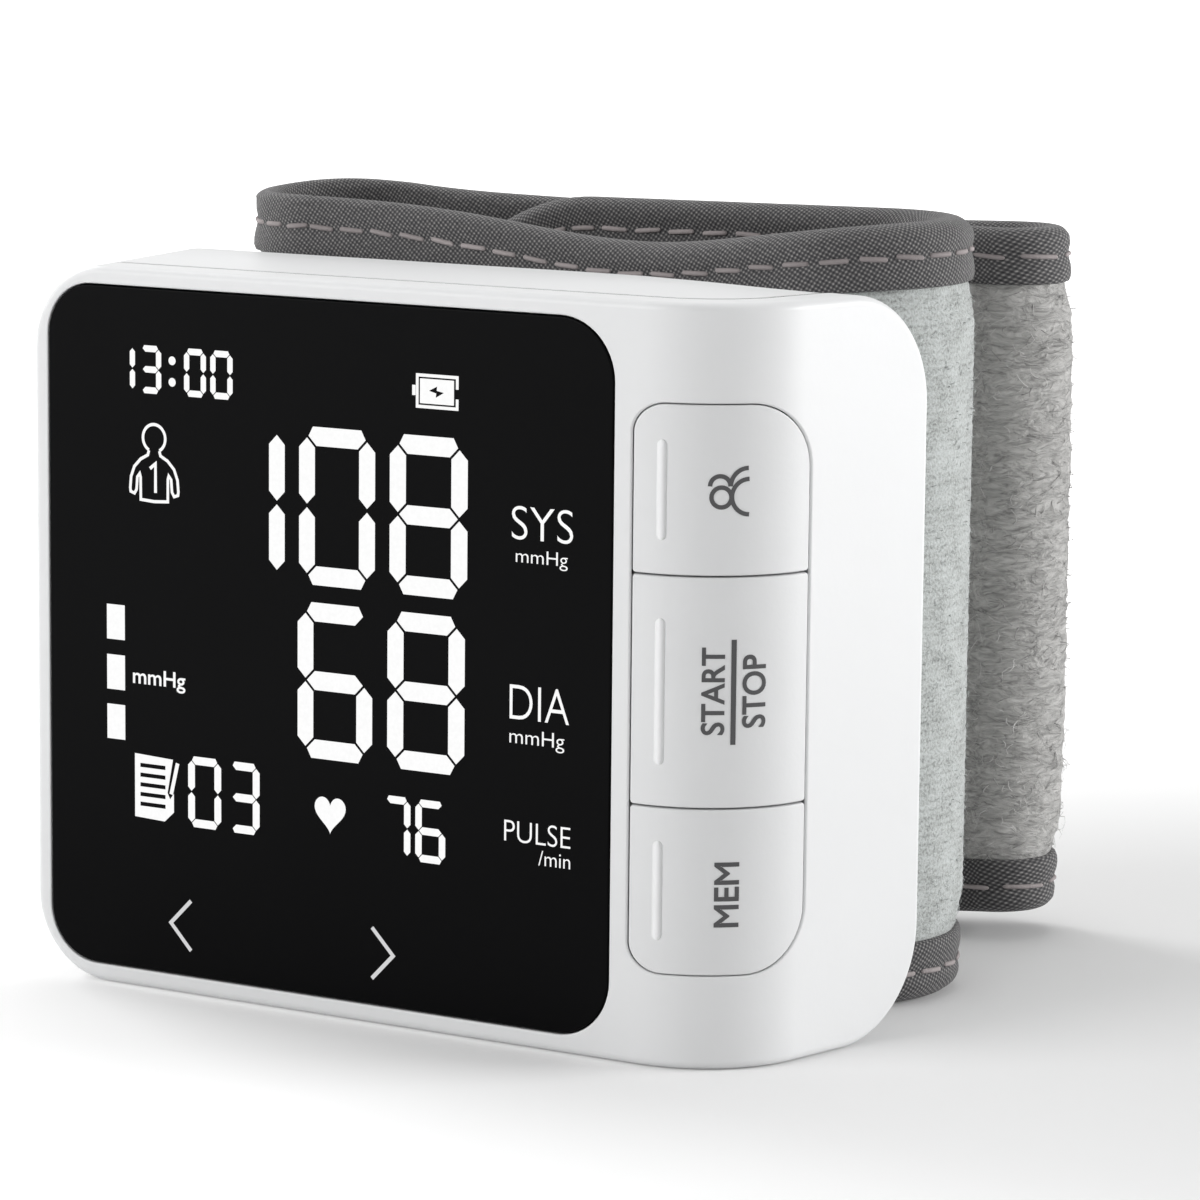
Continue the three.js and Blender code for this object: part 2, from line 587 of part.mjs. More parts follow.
// Battery on its pad against the rear wall, and its lead to the board
const batteryRearY = rearInnerY - BATTERY_PAD;
const batteryFrontY = batteryRearY - BATTERY_THICKNESS;
const batterySides = [BATTERY_X - BATTERY_WIDTH / 2, BATTERY_X + BATTERY_WIDTH / 2];
const batteryEnds = [caseMiddleZ - BATTERY_HEIGHT / 2, caseMiddleZ + BATTERY_HEIGHT / 2];
place('battery_cell', alongZ(
  rectangle(batterySides[0], batteryFrontY, batterySides[1], batteryRearY, BATTERY_THICKNESS / 4),
  ...batteryEnds,
), MATERIALS.battery);
const padInset = BATTERY_THICKNESS / 2;
place('battery_pad', box(batterySides[0] + padInset, batterySides[1] - padInset, batteryRearY, rearInnerY,
  batteryEnds[0] + padInset, batteryEnds[1] - padInset), MATERIALS.foam);
place('battery_lead', box(
  batterySides[0] + padInset, batterySides[0] + padInset + LEAD_THICKNESS,
  boardBackY + FIT_GAP, batteryFrontY - FIT_GAP,
  batteryEnds[0] + padInset, batteryEnds[0] + padInset + LEAD_WIDTH,
), MATERIALS.hook);

// Pump: motor above, head below, with the crank turning in the head's chamber
const pumpHeadTop = PUMP_TOP_Z - PUMP_MOTOR_LENGTH - FIT_GAP;
const pumpHeadLow = pumpHeadTop - PUMP_HEAD_LENGTH;
const shaftBore = CRANK_SHAFT_RADIUS + FIT_GAP / 3;
const motorLow = pumpHeadTop + FIT_GAP;
place('pump_motor', cut(
  rodZ(PUMP_X, airY, PUMP_RADIUS, motorLow, PUMP_TOP_Z),
  rodZ(PUMP_X, airY, shaftBore, motorLow - OVERSHOOT, motorLow + PUMP_MOTOR_LENGTH / 2),
), MATERIALS.steel);
const chamberDepth = PUMP_HEAD_LENGTH / 2;
const headBody = box(PUMP_X - PUMP_RADIUS, PUMP_X + PUMP_RADIUS, airY - PUMP_RADIUS, airY + PUMP_RADIUS,
  pumpHeadLow, pumpHeadTop);
place('pump_head', cut(
  join(headBody, rodZ(PUMP_X, airY, NIPPLE_RADIUS, pumpHeadLow - NIPPLE_LENGTH, pumpHeadLow + WALL)),
  rodZ(PUMP_X, airY, CRANK_CHAMBER_RADIUS, pumpHeadTop - chamberDepth, pumpHeadTop + OVERSHOOT),
), MATERIALS.pumpHead);
place('pump_crank', join(
  rodZ(PUMP_X, airY, CRANK_SHAFT_RADIUS, pumpHeadTop - chamberDepth / 2,
    motorLow + PUMP_MOTOR_LENGTH / 2 - FIT_GAP),
  rodZ(PUMP_X + CRANK_OFFSET, airY, CRANK_RADIUS, pumpHeadTop - chamberDepth + FIT_GAP,
    pumpHeadTop - chamberDepth / 3),
), MATERIALS.brass);

// Exhaust valve with its sliding plunger
const valveLow = pumpHeadLow;
const valveTop = valveLow + VALVE_LENGTH;
const valveBoreFloor = valveLow + VALVE_LENGTH / 3;
place('valve_body', cut(
  join(
    box(VALVE_X - VALVE_WIDTH / 2, VALVE_X + VALVE_WIDTH / 2, airY - PUMP_RADIUS, airY + PUMP_RADIUS,
      valveLow, valveTop),
    rodZ(VALVE_X, airY, NIPPLE_RADIUS, valveLow - NIPPLE_LENGTH, valveLow + WALL),
  ),
  rodZ(VALVE_X, airY, VALVE_PLUNGER_RADIUS + FIT_GAP / 2, valveBoreFloor, valveTop + OVERSHOOT),
), MATERIALS.steel);
place('valve_plunger', rodZ(VALVE_X, airY, VALVE_PLUNGER_RADIUS, valveBoreFloor + VALVE_TRAVEL + FIT_GAP,
  valveTop + VALVE_TRAVEL), MATERIALS.brass);

// Pressure sensor on the board, facing the manifold
const sensorTip = boardBackY + SENSOR_HEIGHT + NIPPLE_LENGTH;
place('pressure_sensor', join(
  box(airX - SENSOR_SIDE / 2, airX + SENSOR_SIDE / 2, boardBackY, boardBackY + SENSOR_HEIGHT,
    MANIFOLD_Z - SENSOR_SIDE / 2, MANIFOLD_Z + SENSOR_SIDE / 2),
  rodY(airX, MANIFOLD_Z, NIPPLE_RADIUS, boardBackY + SENSOR_HEIGHT / 2, sensorTip),
), MATERIALS.frame);

// Manifold with a nipple towards the pump, the valve, the sensor and the cuff
const manifoldHalf = MANIFOLD_SIDE / 2;
const manifoldTop = MANIFOLD_Z + manifoldHalf;
const bar = box(PUMP_X - manifoldHalf, VALVE_X + manifoldHalf, airY - manifoldHalf, airY + manifoldHalf,
  MANIFOLD_Z - manifoldHalf, manifoldTop);
place('air_manifold', join(
  bar,
  rodZ(PUMP_X, airY, NIPPLE_RADIUS, MANIFOLD_Z, manifoldTop + NIPPLE_LENGTH),
  rodZ(VALVE_X, airY, NIPPLE_RADIUS, MANIFOLD_Z, manifoldTop + NIPPLE_LENGTH),
  rodY(airX, MANIFOLD_Z, NIPPLE_RADIUS, airY - manifoldHalf - NIPPLE_LENGTH / 2, airY),
  rodY(airX, MANIFOLD_Z, NIPPLE_RADIUS, airY, airY + manifoldHalf + NIPPLE_LENGTH / 2),
), MATERIALS.pumpHead);

// Hoses, each a short open tube over two facing nipples
const hoseInner = NIPPLE_RADIUS + HOSE_CLEARANCE;
const hoseOuter = hoseInner + HOSE_WALL;
const hoseZ = (x, z0, z1) => cut(
  rodZ(x, airY, hoseOuter, z0, z1),
  rodZ(x, airY, hoseInner, z0 - OVERSHOOT, z1 + OVERSHOOT),
);
const hoseY = (y0, y1) => cut(
  rodY(airX, MANIFOLD_Z, hoseOuter, y0, y1),
  rodY(airX, MANIFOLD_Z, hoseInner, y0 - OVERSHOOT, y1 + OVERSHOOT),
);
place('pump_hose', hoseZ(PUMP_X, manifoldTop + FIT_GAP, pumpHeadLow - FIT_GAP), MATERIALS.hose);
place('valve_hose', hoseZ(VALVE_X, manifoldTop + FIT_GAP, valveLow - FIT_GAP), MATERIALS.hose);
place('sensor_hose', hoseY(
  boardBackY + SENSOR_HEIGHT + FIT_GAP, airY - manifoldHalf - FIT_GAP,
), MATERIALS.hose);
const portFlangeY = rearInnerY - FIT_GAP;
place('cuff_hose', hoseY(airY + manifoldHalf + FIT_GAP, portFlangeY - PORT_FLANGE - FIT_GAP), MATERIALS.hose);

// Depth of each layer below the outer face
const stiffenerDepth = COVER_CLOTH + LAYER_GAP;
const bladderDepth = stiffenerDepth + STIFFENER + LAYER_GAP;
const liningDepth = bladderDepth + BLADDER + LAYER_GAP;
const bandDepth = liningDepth + LINING_CLOTH;
const bindingOuter = -BINDING_GAP - BINDING_CLOTH;
const bindingInner = bandDepth + BINDING_GAP + BINDING_CLOTH;
const flapOverrun = bindingInner * Math.tan(FLAP_TILT) + BINDING_CLOTH;

// Cuff path: outer face of the band from the hinge cut, round the left bend, along the casing, round the
// right bend and along the inner flap, past its end. Each stop holds a point and the normal into the loop.
const bendMiddleY = cuffFrontY + CUFF_BEND_RADIUS;
const polar = (angle) => new THREE.Vector2(Math.cos(angle), Math.sin(angle));

function walk(start, heading, moves) {
  const stops = [];
  let at = start.clone();
  let angle = heading;
  const side = () => polar(angle + Math.PI / 2);
  stops.push({ at: at.clone(), inward: side() });
  moves.forEach(({ length, radius, turn, steps = LOOP_STEPS }) => {
    if (length) {
      at = at.clone().addScaledVector(polar(angle), length);
      stops.push({ at: at.clone(), inward: side() });
      return;
    }
    const way = Math.sign(turn);
    const centre = at.clone().addScaledVector(side(), way * radius);
    for (let k = 1; k <= steps; k += 1) {
      const next = angle + turn / steps;
      at = centre.clone().addScaledVector(polar(next - way * Math.PI / 2), radius);
      angle = next;
      stops.push({ at: at.clone(), inward: side() });
    }
  });
  return stops;
}

// The same path with its first stop set back, for cuts that run out of the end
function leadIn(stops, distance) {
  const [first, ...rest] = stops;
  const back = new THREE.Vector2(-first.inward.y, first.inward.x).multiplyScalar(distance);
  return [{ ...first, at: first.at.clone().add(back) }, first, ...rest];
}

// Closed strip between two depths of a path. A stop may widen it at its top and bottom.
function strip(stops, d0, d1, z0, z1) {
  const corners = stops.flatMap(({ at, inward, widen = 0 }) => [d0, d1].flatMap((d) => {
    const spot = at.clone().addScaledVector(inward, d);
    return [spot.x, spot.y, z0 - widen, spot.x, spot.y, z1 + widen];
  }));
  const faces = [];
  const quad = (a, b, c, d) => faces.push(a, b, c, a, c, d);
  for (let i = 0; i + 1 < stops.length; i += 1) {
    const [low0, high0, low1, high1] = [0, 1, 2, 3].map((k) => 4 * i + k);
    const [nextLow0, nextHigh0, nextLow1, nextHigh1] = [4, 5, 6, 7].map((k) => 4 * i + k);
    quad(low0, nextLow0, nextHigh0, high0);
    quad(low1, high1, nextHigh1, nextLow1);
    quad(low0, low1, nextLow1, nextLow0);
    quad(high0, nextHigh0, nextHigh1, high1);
  }
  const last = 4 * (stops.length - 1);
  quad(0, 1, 3, 2);
  quad(last, last + 2, last + 3, last + 1);
  const geometry = new THREE.BufferGeometry();
  geometry.setAttribute('position', new THREE.Float32BufferAttribute(corners, 3));
  geometry.setIndex(faces);
  return geometry;
}

// Ribbon along the back of the main board and on to the back of the key board
const ribbonY = boardBackY + LAYER_GAP;
const keyBoardBack = keyBoardY + BOARD_THICKNESS + LAYER_GAP;
const ribbonRise = (ribbonY - keyFrame.position.y) * Math.cos(bendHalf) - keyBoardBack;
const ribbonBendX = keyFrame.position.x + ribbonRise / Math.sin(bendHalf)
  - RIBBON_BEND_RADIUS * Math.tan(bendHalf / 2);
const ribbonStart = new THREE.Vector2(panelRight - RIBBON_LENGTH, ribbonY);
const ribbonPath = walk(ribbonStart, 0, [
  { length: ribbonBendX - ribbonStart.x },
  { radius: RIBBON_BEND_RADIUS, turn: bendHalf },
  { length: RIBBON_LENGTH / 2 },
]);
place('key_ribbon', strip(ribbonPath, 0, RIBBON_THICKNESS, boardMiddleZ - RIBBON_WIDTH / 2,
  boardMiddleZ + RIBBON_WIDTH / 2), MATERIALS.brass);

const leftBendTurn = Math.PI - STRAP_TILT;
const bandStart = polar(Math.PI / 2 + STRAP_TILT).multiplyScalar(CUFF_BEND_RADIUS)
  .add(new THREE.Vector2(CUFF_LEFT_X, bendMiddleY));
const cuffPath = walk(bandStart, Math.PI + STRAP_TILT, [
  { radius: CUFF_BEND_RADIUS, turn: leftBendTurn },
  { length: CUFF_RIGHT_X - CUFF_LEFT_X },
  { radius: CUFF_BEND_RADIUS, turn: Math.PI + FLAP_TILT },
  { length: FLAP_LENGTH + flapOverrun },
]);

// Outline of the cuff as seen from behind, with the rounded end of the inner flap, drawn in by a margin
const flapEndX = cuffPath[cuffPath.length - 1].at.x + flapOverrun * Math.cos(FLAP_TILT);
function flapPrism(inset) {
  const left = flapEndX + inset;
  const radius = FLAP_END_RADIUS - inset;
  const points = rounded([
    [left, inset, radius],
    [REACH, inset, 0],
    [REACH, CUFF_HEIGHT - inset, 0],
    [left, CUFF_HEIGHT - inset, radius],
  ]);
  return alongY(points, bendMiddleY, bendMiddleY + REACH);
}

// Keeps the front half whole and shapes the flap behind it
function shaped(solid, inset) {
  const front = box(-REACH, REACH, -REACH, bendMiddleY, inset, CUFF_HEIGHT - inset);
  const leftBack = box(-REACH, CUFF_LEFT_X, bendMiddleY, REACH, inset, CUFF_HEIGHT - inset);
  return common(solid, join(front, leftBack, flapPrism(inset)));
}

const clothInset = BINDING_CLOTH + BINDING_GAP;
const bladderFrontY = cuffFrontY + bladderDepth - LAYER_GAP / 2;
const portBore = rodY(airX, MANIFOLD_Z, NIPPLE_RADIUS + FIT_GAP, rearInnerY, bladderFrontY);
const rivetShafts = rivetSpots.map(
  (x) => rodY(x, caseMiddleZ, RIVET_RADIUS + FIT_GAP / 2, rearInnerY, cuffFrontY + stiffenerDepth),
);
const rivetHeadSeats = rivetSpots.map(
  (x) => rodY(x, caseMiddleZ, RIVET_HEAD_RADIUS + FIT_GAP, cuffFrontY + COVER_CLOTH, bladderFrontY),
);
const clothBand = strip(cuffPath, 0, COVER_CLOTH, 0, CUFF_HEIGHT);
const liningBand = strip(cuffPath, liningDepth, bandDepth, 0, CUFF_HEIGHT);
place('cuff_cover', cut(shaped(solidOf(clothBand), clothInset), portBore, ...rivetShafts), MATERIALS.knit);
place('cuff_lining', shaped(solidOf(liningBand), clothInset), MATERIALS.lining);

// Binding tape folded over the edges: one channel along the top, one along the bottom
const tapeBlock = solidOf(strip(cuffPath, bindingOuter, bindingInner, 0, CUFF_HEIGHT));
const slotPath = leadIn(cuffPath, HINGE_GAP);
const tapeSlot = solidOf(strip(slotPath, -BINDING_GAP, bandDepth + BINDING_GAP, 0, CUFF_HEIGHT));
const tapeWindow = solidOf(
  strip(slotPath, bindingOuter - BINDING_GAP, bindingInner + BINDING_GAP, 0, CUFF_HEIGHT),
);
const tape = cut(shaped(tapeBlock, 0), shaped(tapeSlot, BINDING_CLOTH), shaped(tapeWindow, BINDING_BAND));
const halves = [['bottom', -REACH, -FIT_GAP / 2], ['top', FIT_GAP / 2, REACH]];
halves.forEach(([half, from, to]) => {
  const side = box(-REACH, REACH, -REACH, REACH, CUFF_HEIGHT / 2 + from, CUFF_HEIGHT / 2 + to);
  place(`cuff_${half}_binding`, common(tape, side), MATERIALS.binding);
});

// Stiffener and bladder between the cloths
const corePath = cuffPath.slice(1, cuffPath.length - 1);
const stiffener = strip(corePath, stiffenerDepth, stiffenerDepth + STIFFENER, STIFFENER_INSET,
  CUFF_HEIGHT - STIFFENER_INSET);
place('cuff_stiffener', cut(stiffener, portBore, ...rivetHeadSeats), MATERIALS.stiffener);
place('cuff_bladder', strip(corePath, bladderDepth, bladderDepth + BLADDER, BLADDER_INSET,
  CUFF_HEIGHT - BLADDER_INSET), MATERIALS.bladder);

rivetSpots.forEach((x, i) => {
  place(`cuff_rivet_${i + 1}`, join(
    rodY(x, caseMiddleZ, RIVET_RADIUS, rearInnerY + FIT_GAP, cuffFrontY + stiffenerDepth + STIFFENER / 2),
    rodY(x, caseMiddleZ, RIVET_HEAD_RADIUS, cuffFrontY + COVER_CLOTH + LAYER_GAP / 2,
      cuffFrontY + stiffenerDepth + STIFFENER),
  ), MATERIALS.steel);
});

// Port that carries air from the cuff hose through the rear wall to the bladder
place('cuff_port', join(
  rodY(airX, MANIFOLD_Z, NIPPLE_RADIUS, portFlangeY - PORT_FLANGE - NIPPLE_LENGTH / 2,
    cuffFrontY + stiffenerDepth),
  rodY(airX, MANIFOLD_Z, hoseOuter, portFlangeY - PORT_FLANGE, portFlangeY),
), MATERIALS.frame);

// Closure strap: straight run, fold, closing return and flat tip. Depth 0 is the face towards the cuff.
const strapHeading = polar(STRAP_TILT);
const strapStart = bandStart.clone().addScaledVector(strapHeading, HINGE_GAP)
  .addScaledVector(polar(STRAP_TILT + Math.PI / 2), -STRAP_THICKNESS);
const strapPath = walk(strapStart, STRAP_TILT, [
  { length: STRAP_RUN_LENGTH },
  { radius: STRAP_FOLD_RADIUS, turn: Math.PI + STRAP_FOLD_CLOSE },
  { length: STRAP_RETURN_LENGTH },
  { radius: STRAP_EASE_RADIUS, turn: -STRAP_FOLD_CLOSE, steps: EASE_STEPS },
  { length: STRAP_TIP_LENGTH },
]);
strapPath[0].widen = (STRAP_ROOT_HEIGHT - STRAP_HEIGHT) / 2;
const strapLow = (CUFF_HEIGHT - STRAP_HEIGHT) / 2;
const strapHigh = strapLow + STRAP_HEIGHT;
place('closure_strap', strip(strapPath, 0, STRAP_THICKNESS, strapLow + clothInset, strapHigh - clothInset),
  MATERIALS.pile);
const strapLead = leadIn(strapPath, HINGE_GAP);
const strapLayer = (stops, depth, inset) => strip(
  stops, -depth, STRAP_THICKNESS + depth, strapLow + inset, strapHigh - inset,
);
const strapTape = cut(
  strapLayer(strapPath, -bindingOuter, 0),
  strapLayer(strapLead, BINDING_GAP, BINDING_CLOTH),
  strapLayer(strapLead, BINDING_GAP - bindingOuter, BINDING_BAND),
);
halves.forEach(([half, from, to]) => {
  const side = box(-REACH, REACH, -REACH, REACH, CUFF_HEIGHT / 2 + from, CUFF_HEIGHT / 2 + to);
  place(`strap_${half}_binding`, common(strapTape, side), MATERIALS.binding);
});

// Hook patch under the strap's tip
const tipEnd = strapPath[strapPath.length - 1];
const hookPath = walk(
  tipEnd.at.clone().addScaledVector(strapHeading, FIT_GAP), STRAP_TILT, [{ length: HOOK_LENGTH }],
);
const hookDepth = STRAP_THICKNESS + FIT_GAP;
place('hook_patch', strip(hookPath, -hookDepth - HOOK_THICKNESS, -hookDepth, (CUFF_HEIGHT - HOOK_HEIGHT) / 2,
  (CUFF_HEIGHT + HOOK_HEIGHT) / 2), MATERIALS.hook);

export default monitor;
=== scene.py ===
import json
import math

import bmesh
import bpy
import numpy as np
from mathutils import Matrix, Vector
from mathutils.geometry import delaunay_2d_cdt


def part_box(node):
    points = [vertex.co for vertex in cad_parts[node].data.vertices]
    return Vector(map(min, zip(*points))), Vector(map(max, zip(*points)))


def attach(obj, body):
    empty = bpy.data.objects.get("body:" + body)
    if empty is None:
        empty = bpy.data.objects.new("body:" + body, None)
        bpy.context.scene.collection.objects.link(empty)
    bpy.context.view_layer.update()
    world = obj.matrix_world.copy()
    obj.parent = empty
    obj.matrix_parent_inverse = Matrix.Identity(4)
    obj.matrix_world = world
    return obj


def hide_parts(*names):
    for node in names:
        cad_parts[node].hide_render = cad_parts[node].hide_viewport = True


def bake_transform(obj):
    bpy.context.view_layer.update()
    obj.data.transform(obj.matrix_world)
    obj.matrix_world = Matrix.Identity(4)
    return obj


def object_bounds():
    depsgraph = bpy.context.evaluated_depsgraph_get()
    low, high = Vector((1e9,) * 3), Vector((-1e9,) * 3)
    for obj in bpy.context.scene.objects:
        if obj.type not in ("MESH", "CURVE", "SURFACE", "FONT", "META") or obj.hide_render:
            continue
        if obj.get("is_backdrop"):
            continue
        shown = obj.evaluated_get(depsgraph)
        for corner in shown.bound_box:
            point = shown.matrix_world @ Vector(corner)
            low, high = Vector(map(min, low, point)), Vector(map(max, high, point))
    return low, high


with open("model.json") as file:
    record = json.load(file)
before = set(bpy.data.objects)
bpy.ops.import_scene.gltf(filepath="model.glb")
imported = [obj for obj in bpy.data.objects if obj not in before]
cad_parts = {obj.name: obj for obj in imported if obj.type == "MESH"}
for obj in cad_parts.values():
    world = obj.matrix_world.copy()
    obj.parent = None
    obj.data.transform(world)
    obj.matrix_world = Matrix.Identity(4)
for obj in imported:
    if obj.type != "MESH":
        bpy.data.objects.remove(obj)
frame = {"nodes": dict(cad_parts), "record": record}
size_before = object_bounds()

MM = 0.001
SEED = 7
SQUARE = ((-1, -1), (1, -1), (1, 1), (-1, 1))

# Limits under which places and ways count as one, and the least length of a way
SAME_PLACE = 1e-5
SAME_WAY = 1e-3
SAME_CUT = 1e-7
SAME_LETTER_POINT = 1e-4
LEAST_WAY = 1e-6


def box_mm(node):
    low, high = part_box(node)
    return np.array(low) / MM, np.array(high) / MM


# Casing sizes in millimetres, as in the frame
LENS_LOW, LENS_HIGH = box_mm("display_lens")
COVER_HIGH = box_mm("front_cover")[1]
FRONT_Y = LENS_LOW[1]
CASE_HEIGHT = COVER_HIGH[2]
CASE_REAR_Y = COVER_HIGH[1]
LENS_MARGIN = 1.9
LENS_RADII = (5.3, 5.5, 5.7, 4.9)
LENS_FILLET = 0.12
LENS_DEPTH = 1.2
LENS_GAP = 0.15
FACE_LEFT = LENS_LOW[0] - LENS_MARGIN
FACE_RIGHT = 38.5
WALL_FLARE = math.radians(12)
BEND_RADIUS = 11.75
LEFT_CORNER_RADIUS = 8.3
RIGHT_CORNER_RADIUS = 10.5
COVER_DEPTH = 4.25
SEAM_WIDTH = 0.6
EDGE_FILLET = 0.8
SEAM_FILLET = 0.2
SEAM_LIP = 1.6
# Inset of the dark seam strip, which is painted shade in the gap
SEAM_SHADE_INSET = 0.07
OPENING_FILLET = 0.2

# Keys
KEY_HALF_WIDTH = 8.2
KEY_LOW_Z = 8.7
KEY_HIGH_Z = 61.0
KEY_SPLITS = (24.2, 45.4)
KEY_GAP = 0.18
KEY_RIM_GAP = 0.12
KEY_LEFT_RADIUS = 2.8
KEY_RIGHT_RADIUS = 6.0
KEY_SPLIT_RADIUS = 0.3
KEY_FILLET = 0.18
KEY_SKIRT = 1.8
KEY_NAMES = ("memory", "start_stop", "user")

# Cuff band and closure strap
CUFF_HEIGHT = box_mm("cuff_top_binding")[1][2]
CUFF_FRONT_Y = box_mm("cuff_cover")[0][1]
CUFF_BEND_RADIUS = 11.75
CUFF_LEFT_X = -26.8
CUFF_RIGHT_X = 27.3
FLAP_LENGTH = 48.0
FLAP_TILT = math.radians(10)
FLAP_END_RADIUS = 18.0
BAND_THICKNESS = 3.9
STRAP_THICKNESS = 2.4
STRAP_TILT = math.radians(15)
STRAP_RUN = 62.0
STRAP_FOLD_RADIUS = 3.6
STRAP_FOLD_CLOSE = math.radians(8)
STRAP_RETURN = 22.0
STRAP_EASE_RADIUS = 22.4
STRAP_TIP = 18.0
STRAP_TIP_RADIUS = 8.0
STRAP_ROOT_HEIGHT = 74.6
STRAP_HEIGHT = 70.0
TAPE_DEPTH = 0.62
STITCH_DROP = 3.05
STITCH_LENGTH = 2.75
STITCH_PERIOD = 3.6

# Camera, from the photograph
CAMERA_PLACE = (0.25904, -0.39392, 0.11025)
CAMERA_RIGHT = (0.85127, 0.52463, 0.00984)
CAMERA_UP = (-0.08666, 0.12206, 0.98873)
CAMERA_LENS = 150.0
CAMERA_SENSOR = 36.0

rng = np.random.default_rng(SEED)


# Plain number helpers
def ease(low, high, x):
    t = np.clip((np.asarray(x, float) - low) / (high - low), 0, 1)
    return t * t * (3 - 2 * t)


def value_noise(a, b, table):
    """Smooth noise from a table of random numbers, repeated over the plane."""
    rows, cols = table.shape
    ia, ib = np.floor(a).astype(int), np.floor(b).astype(int)
    fa, fb = ease(0, 1, a - ia), ease(0, 1, b - ib)

    def corner(da, db):
        return table[(ia + da) % rows, (ib + db) % cols]

    low = corner(0, 0) * (1 - fb) + corner(0, 1) * fb
    high = corner(1, 0) * (1 - fb) + corner(1, 1) * fb
    return low * (1 - fa) + high * fa


# Mesh helpers
def show(name, data):
    """A new object in the scene."""
    obj = bpy.data.objects.new(name, data)
    bpy.context.scene.collection.objects.link(obj)
    return obj


def add_map(mesh, name, places):
    """A UV map with one place for each point."""
    layer = mesh.uv_layers.new(name=name)
    corners = np.empty(len(mesh.loops), int)
    mesh.loops.foreach_get("vertex_index", corners)
    layer.data.foreach_set("uv", np.asarray(places, float)[corners].ravel())


def add_object(name, points, faces, material, uv=None, normals=None, flat=False):
    mesh = bpy.data.meshes.new(name)
    places = (np.asarray(points, float) * MM).tolist()
    mesh.from_pydata(places, [], [tuple(int(i) for i in face) for face in faces])
    mesh.polygons.foreach_set("use_smooth", [not flat] * len(mesh.polygons))
    if uv is not None:
        add_map(mesh, "weave", uv)
    mesh.materials.append(material)
    mesh.update()
    if normals is not None:
        mesh.normals_split_custom_set_from_vertices(np.asarray(normals, float).tolist())
    return show(name, mesh)


def belong(piece, body, slot, *nodes):
    """The piece rides on a body and stands for the named nodes, which are hidden. The slot is not used."""
    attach(piece, body)
    if nodes:
        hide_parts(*nodes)
    return piece


def facing(points, normals, faces):
    """Turns each face to the side that its corners' normals point to."""
    out = []
    for face in faces:
        a, b, c = (points[face[k]] for k in (0, 1, 2))
        way = np.dot(np.cross(b - a, c - a), sum(normals[i] for i in face))
        out.append(face if way >= 0 else face[::-1])
    return out


class Skin:
    """Points, normals and faces of one mesh, collected ring by ring."""

    def __init__(self):
        self.points = []
        self.normals = []
        self.faces = []

    def add(self, points, normals):
        start = len(self.points)
        self.points.extend(np.asarray(points, float))
        self.normals.extend(np.asarray(normals, float))
        return np.arange(start, len(self.points))

    def join(self, a, b, closed=True):
        n = len(a)
        for i in range(n if closed else n - 1):
            j = (i + 1) % n
            self.faces.append((a[i], a[j], b[j], b[i]))

    def loft(self, rings, closed=True):
        for a, b in zip(rings, rings[1:]):
            self.join(a, b, closed)

    def build(self, name, material):
        """Makes the object, with points that share a place and a normal made one."""
        points, normals = np.array(self.points), np.array(self.normals)
        alike = np.round(np.concatenate([points / SAME_PLACE, normals / SAME_WAY], axis=1))
        _, first, back = np.unique(alike, axis=0, return_index=True, return_inverse=True)
        faces = [tuple(back.ravel()[list(face)]) for face in self.faces]
        points, normals = points[first], normals[first]
        return add_object(name, points, facing(points, normals, faces), material, normals=normals)


def rounded_outline(a0, a1, b0, b1, radii, step, arc_steps=14):
    """Closed outline of a rectangle with rounded corners, and its outward normals."""
    low_left, low_right, high_right, high_left = radii
    corners = [
        (a0 + low_left, b0 + low_left, low_left, 180),
        (a1 - low_right, b0 + low_right, low_right, 270),
        (a1 - high_right, b1 - high_right, high_right, 0),
        (a0 + high_left, b1 - high_left, high_left, 90),
    ]
    points = []
    normals = []
    for k, (ca, cb, radius, turn) in enumerate(corners):
        for angle in np.radians(np.linspace(turn, turn + 90, arc_steps + 1)):
            way = np.array([math.cos(angle), math.sin(angle)])
            points.append(np.array([ca, cb]) + radius * way)
            normals.append(way)
        na, nb, next_radius, next_turn = corners[(k + 1) % 4]
        start = np.radians(next_turn)
        goal = np.array([na, nb]) + next_radius * np.array([math.cos(start), math.sin(start)])
        here = points[-1]
        count = int(np.linalg.norm(goal - here) / step)
        for share in np.linspace(0, 1, count + 2)[1:-1]:
            points.append(here + share * (goal - here))
            normals.append(normals[-1])
    return np.array(points), np.array(normals)


def inside(loop, spots):
    """Which spots lie inside a closed loop."""
    x, y = spots[:, 0], spots[:, 1]
    hit = np.zeros(len(spots), bool)
    for (x0, y0), (x1, y1) in zip(loop, np.roll(loop, -1, axis=0)):
        if y0 == y1:
            continue
        crosses = ((y0 > y) != (y1 > y)) & (x < (x1 - x0) * (y - y0) / (y1 - y0) + x0)
        hit ^= crosses
    return hit


def cut_plane(loops, extra):
    """Plane cut along closed loops: its points, its triangles and the points that they come from."""
    edges = []
    start = 0
    for loop in loops:
        n = len(loop)
        edges.extend((start + i, start + (i + 1) % n) for i in range(n))
        start += n
    spots = np.concatenate([*loops, extra])
    made, _, triangles, origins, *_ = delaunay_2d_cdt([Vector(p) for p in spots], edges, [], 0, SAME_CUT)
    places = np.array([tuple(v) for v in made])
    return places, np.array(triangles), [old[0] if old else None for old in origins]


